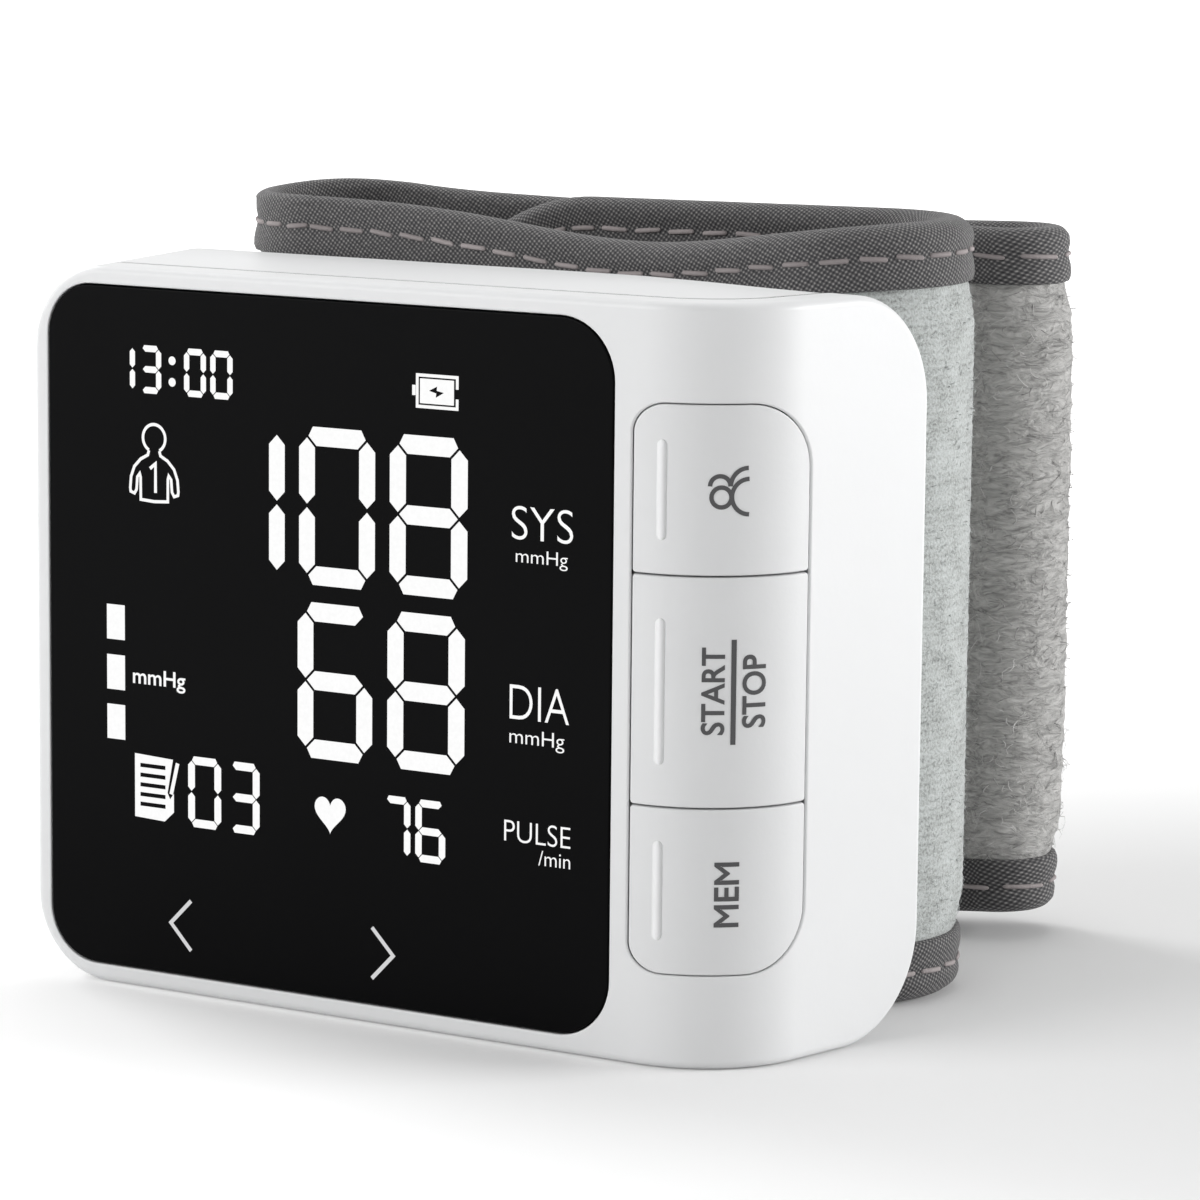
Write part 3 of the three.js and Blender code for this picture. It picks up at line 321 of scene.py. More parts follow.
def fill(outer, holes, spacing):
    """Triangles between an outer loop and its holes, with a grid of points inside."""

    def between(spots):
        keep = inside(outer, spots)
        for hole in holes:
            keep &= ~inside(hole, spots)
        return keep

    a = np.arange(outer[:, 0].min(), outer[:, 0].max(), spacing)
    b = np.arange(outer[:, 1].min(), outer[:, 1].max(), spacing)
    grid = np.stack(np.meshgrid(a, b), -1).reshape(-1, 2)
    grid = grid[between(grid)]
    border = np.concatenate([outer, *holes])
    away = np.array([np.min(np.sum((border - p) ** 2, axis=1)) for p in grid])
    grid = grid[away > (spacing / 2) ** 2]
    made, triangles, origins = cut_plane([outer, *holes], grid.reshape(-1, 2))
    kept = triangles[between(made[triangles].mean(axis=1))]
    return np.concatenate([border, grid]), [tuple(origins[i] for i in t) for t in kept]


# Material helpers
MOTTLE_SCALE = 60.0
CELL_SCALE = 3000.0
GLOSS_SPREAD = 0.12
GRAIN_DEPTH = 0.0002


def new_material(name):
    material = bpy.data.materials.new(name)
    material.use_nodes = True
    tree = material.node_tree
    return material, tree, tree.nodes["Principled BSDF"]


def wire(tree, node, inputs):
    """Gives a node its inputs: a socket is linked, and a plain value is set."""
    for key, value in inputs.items():
        if isinstance(value, bpy.types.NodeSocket):
            tree.links.new(value, node.inputs[key])
        else:
            node.inputs[key].default_value = value


def put(tree, kind, settings=None, inputs=None):
    node = tree.nodes.new("ShaderNode" + kind)
    for key, value in (settings or {}).items():
        setattr(node, key, value)
    wire(tree, node, inputs or {})
    return node


def math_node(tree, operation, a, b=0.0, c=0.0):
    return put(tree, "Math", {"operation": operation}, {0: a, 1: b, 2: c}).outputs[0]


def ramp(tree, factor, stops):
    node = put(tree, "ValToRGB", inputs={"Fac": factor})
    elements = node.color_ramp.elements
    while len(elements) < len(stops):
        elements.new(0.5)
    for element, (place, color) in zip(elements, stops):
        element.position = place
        element.color = (*color, 1)
    return node.outputs["Color"]


def noise(tree, vector, scale, detail=3.0, roughness=0.5):
    inputs = {"Vector": vector, "Scale": scale, "Detail": detail, "Roughness": roughness}
    return put(tree, "TexNoise", inputs=inputs).outputs["Fac"]


def surface(tree, bsdf, color, roughness, specular, more=None):
    """Sets the main inputs of a surface."""
    inputs = {"Base Color": color, "Roughness": roughness, "Specular IOR Level": specular}
    wire(tree, bsdf, {**inputs, **(more or {})})


def bump(tree, bsdf, height, strength, distance):
    inputs = {"Height": height, "Strength": strength, "Distance": distance}
    wire(tree, bsdf, {"Normal": put(tree, "Bump", inputs=inputs).outputs["Normal"]})


def moulded(name, color, roughness, grain=900.0, strength=0.05, spread=0.03, specular=0.5, metallic=0.0):
    """Moulded plastic, rubber or metal: even colour with slight mottling and a fine surface grain."""
    material, tree, bsdf = new_material(name)
    place = put(tree, "TexCoord").outputs["Object"]
    mottle = noise(tree, place, MOTTLE_SCALE, 4.0)
    dark = tuple(c * (1 - spread) for c in color)
    light = tuple(min(1.0, c * (1 + spread)) for c in color)
    fine = noise(tree, place, grain, 2.0)
    gloss = math_node(tree, "MULTIPLY_ADD", fine, GLOSS_SPREAD, roughness - GLOSS_SPREAD / 2)
    tone = ramp(tree, mottle, [(0.3, dark), (0.7, light)])
    surface(tree, bsdf, tone, gloss, specular, {"Metallic": metallic})
    bump(tree, bsdf, fine, strength, GRAIN_DEPTH)
    return material


def glowing(name, color, strength):
    """Lit signs, and printed signs given a painted glow: even colour that shows without other light."""
    material, tree, bsdf = new_material(name)
    cells = noise(tree, put(tree, "TexCoord").outputs["Object"], CELL_SCALE, 1.0)
    glow = ramp(tree, cells, [(0.2, tuple(0.94 * c for c in color)), (0.8, color)])
    lit = {"Emission Color": glow, "Emission Strength": strength}
    surface(tree, bsdf, (0.02, 0.02, 0.02, 1), 0.3, 0.1, lit)
    return material


CASING = moulded("casing_plastic", (0.80, 0.805, 0.81), 0.40, 1400.0, 0.04, 0.008, 0.4)
# The ribs are white plastic like the keys, given a paler tone than the key plastic: a painted highlight that
# keeps them white where their sides fall in shade
RIB_HIGHLIGHT_PLASTIC = moulded("rib_painted_highlight", (0.9, 0.905, 0.91), 0.45, 1600.0, 0.04, 0.008, 0.4)
KEY = moulded("key_plastic", (0.77, 0.775, 0.78), 0.45, 1600.0, 0.06, 0.008, 0.4)
LENS = moulded("lens_gloss", (0.0035, 0.0035, 0.0038), 0.12, 400.0, 0.0, 0.05, 0.03)
LIT = glowing("display_white", (1.0, 1.0, 1.0), 0.98)
# The printed arrows glow like the lit display: painted light, as print gives off none
PRINT_GLOW = glowing("window_print_glow", (0.72, 0.72, 0.73), 0.9)
# Dark strip along the seam: painted shade in place of the gap's shadow
SEAM_SHADE = moulded("seam_painted_shade", (0.07, 0.07, 0.07), 0.8, 900.0, 0.1, 0.1, 0.2)
INK = moulded("legend_ink", (0.085, 0.085, 0.088), 0.55, 2500.0, 0.1, 0.1, 0.3)


# Casing skin: distances run along the front, round the bend and along the right wall
BEND_TURN = math.pi / 2 - WALL_FLARE
BEND_START = FACE_RIGHT - BEND_RADIUS * math.tan(BEND_TURN / 2)
BEND_LENGTH = BEND_RADIUS * BEND_TURN
BEND_CENTRE = np.array([BEND_START, FRONT_Y + BEND_RADIUS])
WALL_START_Y = BEND_CENTRE[1] - BEND_RADIUS * math.cos(BEND_TURN)
SKIN_END = BEND_START + BEND_LENGTH + (CASE_REAR_Y - WALL_START_Y) / math.sin(BEND_TURN)


def profile(u):
    """Plan point and outward normal of the casing at a distance along its skin."""
    u = np.asarray(u, float)
    turn = np.clip((u - BEND_START) / BEND_RADIUS, 0, BEND_TURN)
    normal = np.stack([np.sin(turn), -np.cos(turn)], -1)
    along = np.stack([np.cos(turn), np.sin(turn)], -1)
    beyond = np.minimum(u - BEND_START, 0) + np.maximum(u - BEND_START - BEND_LENGTH, 0)
    return BEND_CENTRE + BEND_RADIUS * normal + along * beyond[..., None], normal, along


def on_skin(u, z, depth=0.0):
    """Point at a depth under the skin. The left end leans out with depth, as the left wall does."""
    point, normal, _ = profile(u)
    depth = np.broadcast_to(depth, np.shape(u)).astype(float)
    flat = point - normal * depth[..., None]
    lean = 1 - ease(FACE_LEFT + LEFT_CORNER_RADIUS, 0, u)
    flat[..., 0] -= math.tan(WALL_FLARE) * depth * lean
    return np.concatenate([flat, np.asarray(z, float)[..., None]], -1)


def skin_normal(u, ways, outward, forward):
    """Blend of the skin's normal and an in-plane way along the skin."""
    _, normal, along = profile(u)
    side = np.concatenate([along * ways[:, :1], ways[:, 1:]], -1)
    face = np.concatenate([normal, np.zeros((len(normal), 1))], -1)
    mixed = face * forward + side * outward
    return mixed / np.linalg.norm(mixed, axis=1, keepdims=True)


KEY_EDGE_STEP = 0.5
KEY_TURN = BEND_TURN / 2
KEY_TRAVEL_WAY = np.array([-math.sin(KEY_TURN), math.cos(KEY_TURN), 0.0])


def key_to_skin(x):
    """Distance along the skin of a place across the keys."""
    x = np.asarray(x, float)
    edge = BEND_RADIUS * math.sin(KEY_TURN)
    curved = KEY_TURN + np.arcsin(np.clip(x / BEND_RADIUS, -math.sin(KEY_TURN), math.sin(KEY_TURN)))
    beyond = (np.minimum(x + edge, 0) + np.maximum(x - edge, 0)) / math.cos(KEY_TURN)
    return BEND_START + BEND_RADIUS * curved + beyond


def key_outline(low, high, inset, round_low, round_high):
    """Outline of a key or of the whole opening. An end that is not round has the small corners of a split."""
    full = (KEY_LEFT_RADIUS - inset, KEY_RIGHT_RADIUS - inset)
    small = (KEY_SPLIT_RADIUS, KEY_SPLIT_RADIUS)
    high_left, high_right = full if round_high else small
    radii = (*(full if round_low else small), high_right, high_left)
    half = KEY_HALF_WIDTH - inset
    return rounded_outline(-half, half, low, high, radii, KEY_EDGE_STEP)


FILLET_TURNS = np.radians(np.linspace(0, 90, 7))
LENS_WALL = np.array([0.0, LENS_DEPTH, 0.0])
LENS_STEP = 2.0
KEY_WALL = KEY_TRAVEL_WAY * KEY_SKIRT
COVER_STEP = 0.8
COVER_ARC_STEPS = 24
FACE_STEP = 1.2
KEY_STEP = 0.9


def round_edge(skin, spots, ways, fillet, along, side, wall):
    """Rings from a face down into its wall. The side is 1 round a plate and -1 round an opening."""
    rings = []
    for t in FILLET_TURNS:
        at = spots - ways * side * fillet * (1 - math.sin(t))
        u = along(at[:, 0])
        normal = skin_normal(u, ways, side * math.sin(t), math.cos(t))
        rings.append(skin.add(on_skin(u, at[:, 1], fillet * (1 - math.cos(t))), normal))
    u = along(spots[:, 0])
    rings.append(skin.add(on_skin(u, spots[:, 1], fillet) + wall, skin_normal(u, ways, side, 0)))
    skin.loft(rings)
    edge = spots - ways * side * fillet
    return np.stack([along(edge[:, 0]), edge[:, 1]], -1)


def lay_face(skin, face, triangles):
    normal = skin_normal(face[:, 0], np.zeros_like(face), 0, 1)
    ids = skin.add(on_skin(face[:, 0], face[:, 1]), normal)
    skin.faces.extend(tuple(ids[i] for i in t) for t in triangles)


def lens_outline(grow):
    low = LENS_LOW - grow
    high = LENS_HIGH + grow
    radii = tuple(radius + grow for radius in LENS_RADII)
    return rounded_outline(low[0], high[0], low[2], high[2], radii, LENS_STEP)


def build_cover():
    skin = Skin()
    radii = (LEFT_CORNER_RADIUS, RIGHT_CORNER_RADIUS, RIGHT_CORNER_RADIUS, LEFT_CORNER_RADIUS)
    spots, ways = rounded_outline(FACE_LEFT, SKIN_END, 0, CASE_HEIGHT, radii, COVER_STEP, COVER_ARC_STEPS)

    def ring(to, inset, depth, outward, forward):
        at = spots - ways * inset
        return to.add(on_skin(at[:, 0], at[:, 1], depth), skin_normal(at[:, 0], ways, outward, forward))

    seam = COVER_DEPTH - SEAM_FILLET
    turns = [(math.sin(t), math.cos(t)) for t in FILLET_TURNS]
    rings = [ring(skin, EDGE_FILLET * (1 - a), EDGE_FILLET * (1 - b), a, b) for a, b in turns]
    rings.append(ring(skin, 0, seam, 1, 0))
    rings += [ring(skin, SEAM_FILLET * (1 - b), seam + SEAM_FILLET * a, b, -a) for a, b in turns[1::2]]
    rings.append(ring(skin, SEAM_LIP, COVER_DEPTH, 0, -1))
    skin.loft(rings)

    # Dark strip in the seam: painted shade that stands in for the shadow in the gap between the cover and the
    # rear shell
    shade_strip = Skin()
    shade_strip.loft([ring(shade_strip, SEAM_SHADE_INSET, depth, 1, 0) for depth in (seam, COVER_DEPTH + SEAM_WIDTH)])
    belong(shade_strip.build("seam_shade_strip", SEAM_SHADE), "monitor", "casing")

    # Display seat, key opening and the face between them
    seat_edge = round_edge(skin, *lens_outline(LENS_GAP), SEAM_FILLET, np.asarray, -1, LENS_WALL)
    opening = key_outline(KEY_LOW_Z, KEY_HIGH_Z, 0, True, True)
    hole_edge = round_edge(skin, *opening, OPENING_FILLET, key_to_skin, -1, KEY_WALL)
    lay_face(skin, *fill(spots - ways * EDGE_FILLET, [seat_edge, hole_edge], FACE_STEP))
    belong(skin.build("casing_cover", CASING), "monitor", "casing", "front_cover")


def build_plate(name, outline, fillet, along, wall, step, material):
    """A plate that lies flush in the cover, with a rounded edge and a wall."""
    skin = Skin()
    edge = round_edge(skin, *outline, fillet, along, 1, wall)
    lay_face(skin, *fill(edge, [], step))
    return skin.build(name, material)


build_cover()


# Keys: each follows the bend, with rounded edges and a skirt into the opening
def build_key(index, name):
    bounds = (KEY_LOW_Z, *KEY_SPLITS, KEY_HIGH_Z)
    lowest = index == 0
    highest = index == len(KEY_NAMES) - 1
    low = bounds[index] + (KEY_RIM_GAP if lowest else KEY_GAP / 2)
    high = bounds[index + 1] - (KEY_RIM_GAP if highest else KEY_GAP / 2)
    outline = key_outline(low, high, KEY_RIM_GAP, lowest, highest)
    cap = build_plate(f"{name}_key_cap", outline, KEY_FILLET, key_to_skin, KEY_WALL, KEY_STEP, KEY)
    belong(cap, f"{name}_key", "key", f"{name}_key")


for key_index, key_name in enumerate(KEY_NAMES):
    build_key(key_index, key_name)


# Raised rib near the left edge of each key, given as its low and high end
RIB_ARC = -5.95
RIB_HALF_WIDTH = 0.5
RIB_HEIGHT = 0.2
RIB_SINK = 0.03
RIB_END_TURN = 0.12
RIB_LEAST_LIFT = 0.05
RIB_STEPS = 9
RIB_END_STEPS = 7
RIB_RUN_STEPS = 14
RIB_SPANS = {"user": (48.6, 57.7), "start_stop": (28.1, 41.5), "memory": (11.9, 21.1)}
KEY_MIDDLE = BEND_START + BEND_RADIUS * KEY_TURN


def build_rib(name, low, high):
    skin = Skin()
    rows = []
    ends = np.linspace(RIB_END_TURN, math.pi / 2, RIB_END_STEPS)
    cap = RIB_HALF_WIDTH * (1 - np.cos(ends))
    straight = np.linspace(low + RIB_HALF_WIDTH, high - RIB_HALF_WIDTH, RIB_RUN_STEPS)[1:-1]
    z = np.concatenate([low + cap, straight, high - cap[::-1]])
    width = np.concatenate([np.sin(ends), np.ones(len(straight)), np.sin(ends)[::-1]])
    ways = np.stack([np.ones(len(z)), np.zeros(len(z))], -1)
    for t in np.linspace(-math.pi / 2, math.pi / 2, RIB_STEPS):
        u = KEY_MIDDLE + RIB_ARC + RIB_HALF_WIDTH * width * math.sin(t)
        normal = skin_normal(u, ways, math.sin(t), max(math.cos(t), RIB_LEAST_LIFT))
        rows.append(skin.add(on_skin(u, z, RIB_SINK - RIB_HEIGHT * math.cos(t) * width), normal))
    skin.loft(rows, closed=False)
    belong(skin.build(f"{name}_key_rib", RIB_HIGHLIGHT_PLASTIC), f"{name}_key", "key")


for rib_name, rib_span in RIB_SPANS.items():
    build_rib(rib_name, *rib_span)


# Flat marks: strokes, filled shapes and words, drawn in a plane and then laid on a surface
STROKE_MITRE = 0.5
LETTER_MITRE = 0.6
LETTER_STEPS = 6
THIN_TRIANGLE = 2e-6
DIGIT_END = 0.55
SEGMENTS = {
    "0": "abcdef", "1": "bc", "2": "abged", "3": "abgcd", "4": "fgbc",
    "5": "afgcd", "6": "afgedc", "7": "abc", "8": "abcdefg", "9": "abcdfg",
}


def unit(ways):
    return ways / np.maximum(np.linalg.norm(ways, axis=1, keepdims=True), LEAST_WAY)


def mitres(points, closed, limit):
    """Way to the left at each corner of a line, longer where the line turns, up to a limit."""
    before = np.roll(points, 1, axis=0)
    after = np.roll(points, -1, axis=0)
    if not closed:
        before[0] = 2 * points[0] - points[1]
        after[-1] = 2 * points[-1] - points[-2]
    onward = unit(after - points)
    along = unit(unit(points - before) + onward)
    left = np.stack([-along[:, 1], along[:, 0]], -1)
    return left / np.maximum(np.sum(along * onward, axis=1), limit)[:, None]


def stroke(points, width, closed=False):
    """Line of even width with mitred corners, as points and faces."""
    points = np.asarray(points, float)
    n = len(points)
    side = mitres(points, closed, STROKE_MITRE) * width / 2
    faces = [(i, (i + 1) % n, n + (i + 1) % n, n + i) for i in range(n if closed else n - 1)]
    return np.concatenate([points + side, points - side]), faces


def polygon(points):
    return np.asarray(points, float), [tuple(range(len(points)))]


def bar(a0, a1, b0, b1):
    return polygon([(a0, b0), (a1, b0), (a1, b1), (a0, b1)])


def arc(centre, radius, start, end, steps):
    turns = np.radians(np.linspace(start, end, steps + 1))
    return np.array(centre) + radius * np.stack([np.cos(turns), np.sin(turns)], -1)


def gather(shapes):
    points = []
    faces = []
    for shape_points, shape_faces in shapes:
        start = len(points)
        points.extend(shape_points)
        faces.extend(tuple(start + i for i in face) for face in shape_faces)
    return np.array(points), faces


def left_round(loop):
    ahead = np.roll(loop, -1, axis=0)
    return np.sum(loop[:, 0] * ahead[:, 1] - ahead[:, 0] * loop[:, 1]) > 0


def outlines(text):
    """Closed loops of the letters: outer ones run left round, and holes right round."""
    curve = bpy.data.curves.new("letters", "FONT")
    curve.body = text
    curve.resolution_u = LETTER_STEPS
    curve.fill_mode = "NONE"
    holder = show("letters", curve)
    shown = holder.evaluated_get(bpy.context.evaluated_depsgraph_get())
    mesh = bpy.data.meshes.new_from_object(shown)
    places = np.array([tuple(v.co)[:2] for v in mesh.vertices])
    links = np.sort([tuple(edge.vertices) for edge in mesh.edges], axis=1)
    bpy.data.objects.remove(holder)
    bpy.data.meshes.remove(mesh)
    bpy.data.curves.remove(curve)

    # Points follow each other round a loop, and one link closes it from the last point to the first
    loops = []
    for first, last in links[links[:, 1] - links[:, 0] > 1]:
        loop = places[first:last + 1]
        far = np.linalg.norm(loop - np.roll(loop, 1, axis=0), axis=1) > SAME_LETTER_POINT
        loops.append(loop[far])
    turned = []
    for loop in loops:
        depth = sum(bool(inside(other, loop[:1])[0]) for other in loops if other is not loop)
        turned.append(loop if left_round(loop) == (depth % 2 == 0) else loop[::-1])
    return turned


def words(text, a0, a1, b0, b1, weight):
    """Letters as flat faces, fitted to a box, with their outlines set off by a weight."""
    loops = outlines(text)
    every = np.concatenate(loops)
    low = every.min(axis=0)
    share = (np.array([a1 - a0, b1 - b0]) - 2 * weight) / (every.max(axis=0) - low)
    loops = [np.array([a0, b0]) + weight + (loop - low) * share for loop in loops]
    loops = [loop - mitres(loop, True, LETTER_MITRE) * weight for loop in loops]
    made, triangles, _ = cut_plane(loops, np.empty((0, 2)))
    centres = made[triangles].mean(axis=1)
    broad = np.abs(np.linalg.det(made[triangles[:, 1:]] - made[triangles[:, :1]])) > THIN_TRIANGLE
    rounds = sum(np.where(inside(loop, centres), 1 if left_round(loop) else -1, 0) for loop in loops)
    used, back = np.unique(triangles[broad & (rounds > 0)], return_inverse=True)
    return made[used], [tuple(f) for f in back.reshape(-1, 3)]


def digit(sign, a0, a1, b0, b1, thick, gap):
    """Bars of one seven-part digit in a box. Each bar has pointed or slanted ends."""
    half = thick / 2
    middle = (b0 + b1) / 2
    left, right = a0 + half, a1 - half
    low, high = b0 + half, b1 - half

    def flat_bar(b, above=1.0, below=1.0):
        """A level bar, whose upper and lower corners stand in from its tips by shares of its half width."""
        tip_left, tip_right = left + gap, right - gap
        return polygon([
            (tip_left + below * half, b - half), (tip_right - below * half, b - half), (tip_right, b),
            (tip_right - above * half, b + half), (tip_left + above * half, b + half), (tip_left, b),
        ])

    def upright_bar(a, b_low, b_high):
        tip_low, tip_high = b_low + gap, b_high - gap
        return polygon([
            (a, tip_low), (a + half, tip_low + half), (a + half, tip_high - half),
            (a, tip_high), (a - half, tip_high - half), (a - half, tip_low + half),
        ])

    bars = {
        "a": flat_bar(high, above=DIGIT_END),
        "g": flat_bar(middle),
        "d": flat_bar(low, below=DIGIT_END),
        "f": upright_bar(left, middle, high),
        "b": upright_bar(right, middle, high),
        "e": upright_bar(left, low, middle),
        "c": upright_bar(right, low, middle),
    }
    return [bars[k] for k in SEGMENTS[sign]]


# What the display shows, as places in millimetres on the face
DISPLAY_LIFT = 0.03
BIG_BAR = 1.8
BIG_GAP = 0.17
SMALL_GAP = 0.06
CLOCK_SIGNS = (("1", -30.1, -27.55), ("3", -27.0, -24.45), ("0", -21.77, -19.2), ("0", -18.7, -16.1))
DIGIT_ROWS = (
    (41.3, 56.25, BIG_BAR, BIG_GAP, (("1", -18.7, -10.1), ("0", -8.45, 0.15), ("8", 1.79, 10.41))),
    (24.8, 39.65, BIG_BAR, BIG_GAP, (("6", -8.6, -0.1), ("8", 1.6, 10.2))),
    (58.1, 62.7, 0.62, SMALL_GAP, CLOCK_SIGNS),
    (16.6, 23.5, 0.8, SMALL_GAP, (("0", -21.4, -17.5), ("3", -16.6, -13.0))),
    (16.2, 22.15, 0.72, SMALL_GAP, (("7", 1.2, 4.25), ("6", 4.8, 8.15))),
)
WORD_BOXES = (
    ("SYS", 15.25, 21.85, 47.45, 50.55, -0.05),
    ("mmHg", 15.7, 21.3, 44.95, 46.6, -0.01),
    ("DIA", 15.15, 21.6, 30.8, 34.0, -0.05),
    ("mmHg", 15.15, 21.1, 28.1, 29.9, -0.01),
    ("PULSE", 14.65, 21.85, 19.3, 21.3, -0.03),
    ("/min", 18.4, 21.85, 17.4, 18.8, -0.01),
    ("mmHg", -27.95, -21.7, 29.45, 31.45, 0.03),
)
COLON = (-23.17, 0.42, (61.4, 59.35))
SCALE_BARS = (-31.05, -28.9, 3.4, (34.0, 29.1, 24.25))
BATTERY_LINE = ((9.2, 59.85), (9.2, 58.95), (4.8, 58.95), (4.8, 61.85), (9.2, 61.85), (9.2, 60.75))
BATTERY_TIP = (4.24, 4.62, 59.95, 60.9)
BATTERY_FILL = (5.1, 8.85, 59.25, 61.55)
BATTERY_BOLT = ((6.1, 60.45), (7.0, 60.9), (6.95, 60.5), (7.75, 60.35), (6.85, 59.85), (6.9, 60.25))
PERSON_X = -25.32
PERSON_HEAD = ((PERSON_X, 53.85), 1.32, -62, 242, 30)
PERSON_SIDE = (
    (0.62, 52.65), (0.75, 52.2), (1.6, 51.75), (2.35, 51.0), (2.75, 50.0), (2.85, 48.9), (2.8, 48.55),
    (2.35, 48.4), (2.1, 48.8), (2.0, 50.0), (1.72, 50.35), (1.62, 50.0), (1.6, 47.85), (0.0, 47.75),
)
PERSON_NUMBER = ((-0.5, 50.9), (0.15, 51.4), (0.15, 48.6))
NOTE_SHEET = (
    (-27.75, 16.9), (-24.2, 16.75), (-23.1, 17.75), (-23.1, 19.6),
    (-23.55, 19.0), (-23.85, 19.6), (-23.2, 22.9), (-27.75, 23.1),
)
NOTE_LINES = (-27.1, -24.1, 0.4, (18.0, 18.95, 19.9, 20.85, 21.8))
NOTE_PEN = ((-22.65, 22.6), (-23.42, 19.5))
HEART = (-4.85, 19.75, 1.78, 1.952)
ARROWS = (((-21.1, 9.3), (-23.5, 6.9), (-21.1, 4.4)), ((-0.05, 9.3), (2.35, 6.85), (-0.05, 4.4)))
FINE_LINE = 0.3
NUMBER_LINE = 0.34
PEN_LINE = 0.42
ARROW_LINE = 0.4
NO_INNER_POINTS = 100.0


def heart(a, b, half_width, height):
    """The well-known heart curve, 16 units to each side and 16 up and down from its middle."""
    turns = np.linspace(0, 2 * math.pi, 49)[:-1]
    across = np.sin(turns) ** 3
    up = 13 * np.cos(turns) - 5 * np.cos(2 * turns) - 2 * np.cos(3 * turns) - np.cos(4 * turns)
    return polygon(np.stack([a + half_width * across, b + height * up / 16], -1))


def display_marks():
    shapes = []
    for low, high, thick, gap, signs in DIGIT_ROWS:
        for sign, left, right in signs:
            shapes += digit(sign, left, right, low, high, thick, gap)
    across, radius, levels = COLON
    shapes += [polygon(arc((across, z), radius, 0, 345, 23)) for z in levels]
    left, right, tall, levels = SCALE_BARS
    shapes += [bar(left, right, z, z + tall) for z in levels]

    # Battery with a charging bolt, drawn as the filled part around the bolt
    shapes.append(stroke(BATTERY_LINE, FINE_LINE))
    shapes.append(bar(*BATTERY_TIP))
    shapes.append(fill(bar(*BATTERY_FILL)[0], [np.array(BATTERY_BOLT)], NO_INNER_POINTS))

    # Person, drawn in one line, with the number of the user
    shapes.append(stroke(arc(*PERSON_HEAD), FINE_LINE))
    shapes += [stroke([(PERSON_X + way * a, b) for a, b in PERSON_SIDE], FINE_LINE) for way in (1, -1)]
    shapes.append(stroke([(PERSON_X + a, b) for a, b in PERSON_NUMBER], NUMBER_LINE))

    # Note sheet with lines and a pen
    left, right, tall, levels = NOTE_LINES
    gaps = [bar(left, right, z, z + tall)[0] for z in levels]
    shapes.append(fill(np.array(NOTE_SHEET), gaps, NO_INNER_POINTS))
    shapes.append(stroke(NOTE_PEN, PEN_LINE))
    shapes.append(heart(*HEART))
    shapes += [words(*box) for box in WORD_BOXES]
    return gather(shapes)


def lay_on_face(name, shape, material):
    flat, faces = shape
    points = np.stack([flat[:, 0], np.full(len(flat), FRONT_Y - DISPLAY_LIFT), flat[:, 1]], -1)
    normals = np.tile([0.0, -1.0, 0.0], (len(points), 1))
    obj = add_object(name, points, facing(points, normals, faces), material, flat=True)
    belong(obj, "monitor", "lens")


lay_on_face("display_signs", display_marks(), LIT)
lay_on_face("display_arrows", gather([stroke(arrow, ARROW_LINE) for arrow in ARROWS]), PRINT_GLOW)
lens = build_plate("lens_face", lens_outline(0), LENS_FILLET, np.asarray, LENS_WALL, 2 * LENS_STEP, LENS)
belong(lens, "monitor", "lens", "display_lens")


# Legends on the keys, laid round the bend. Words read upwards.
LEGEND_LIFT = 0.025
LEGEND_STEP = 0.5
LEGEND_CUTS = 4
LEGEND_WEIGHT = 0.055
START_BOX = (-2.1, 0.05, 31.0, 39.0)
STOP_BOX = (1.65, 3.95, 31.6, 38.3)
MEMORY_BOX = (-0.7, 1.6, 13.3, 19.3)
START_STOP_BAR = (0.6, 1.08, 30.1, 39.7)
USER_LINE = 0.4
USER_HEAD = ((-0.50, 52.6), 0.9, 0, 360, 28)
USER_ARCS = (
    ((2.05, 52.65), 1.6, 90, 270, 28),
    ((-0.62, 53.6), 0.92, 0, 180, 20),
    ((1.97, 53.6), 1.64, 90, 180, 16),
)


def lay_on_key(key, shapes):
    flat, faces = gather(shapes)
    work = bmesh.new()
    spots = [work.verts.new((a, b, 0)) for a, b in flat]
    for face in faces:
        work.faces.new([spots[i] for i in face])
    bmesh.ops.triangulate(work, faces=work.faces[:])
    for _ in range(LEGEND_CUTS):
        long = [e for e in work.edges if e.calc_length() > LEGEND_STEP]
        bmesh.ops.subdivide_edges(work, edges=long, cuts=1)
        bmesh.ops.triangulate(work, faces=work.faces[:])
    work.verts.index_update()
    flat = np.array([tuple(v.co)[:2] for v in work.verts])
    faces = [tuple(v.index for v in f.verts) for f in work.faces]
    work.free()
    u = KEY_MIDDLE + flat[:, 0]
    points = on_skin(u, flat[:, 1], -LEGEND_LIFT)
    normals = skin_normal(u, np.zeros_like(flat), 0, 1)
    obj = add_object(f"{key}_legend", points, facing(points, normals, faces), INK, normals=normals)
    belong(obj, f"{key}_key", "key")


def upward(text, a0, a1, z0, z1):
    """Words turned a quarter turn, so that they read from low to high."""
    points, faces = words(text, z0, z1, -a1, -a0, LEGEND_WEIGHT)
    return np.stack([-points[:, 1], points[:, 0]], -1), faces


# The user key shows two plain heads and shoulders, lying on their side
user_head = stroke(arc(*USER_HEAD)[:-1], USER_LINE, closed=True)
lay_on_key("start_stop", [upward("START", *START_BOX), bar(*START_STOP_BAR), upward("STOP", *STOP_BOX)])
lay_on_key("memory", [upward("MEM", *MEMORY_BOX)])
lay_on_key("user", [user_head, *(stroke(arc(*curve), USER_LINE) for curve in USER_ARCS)])


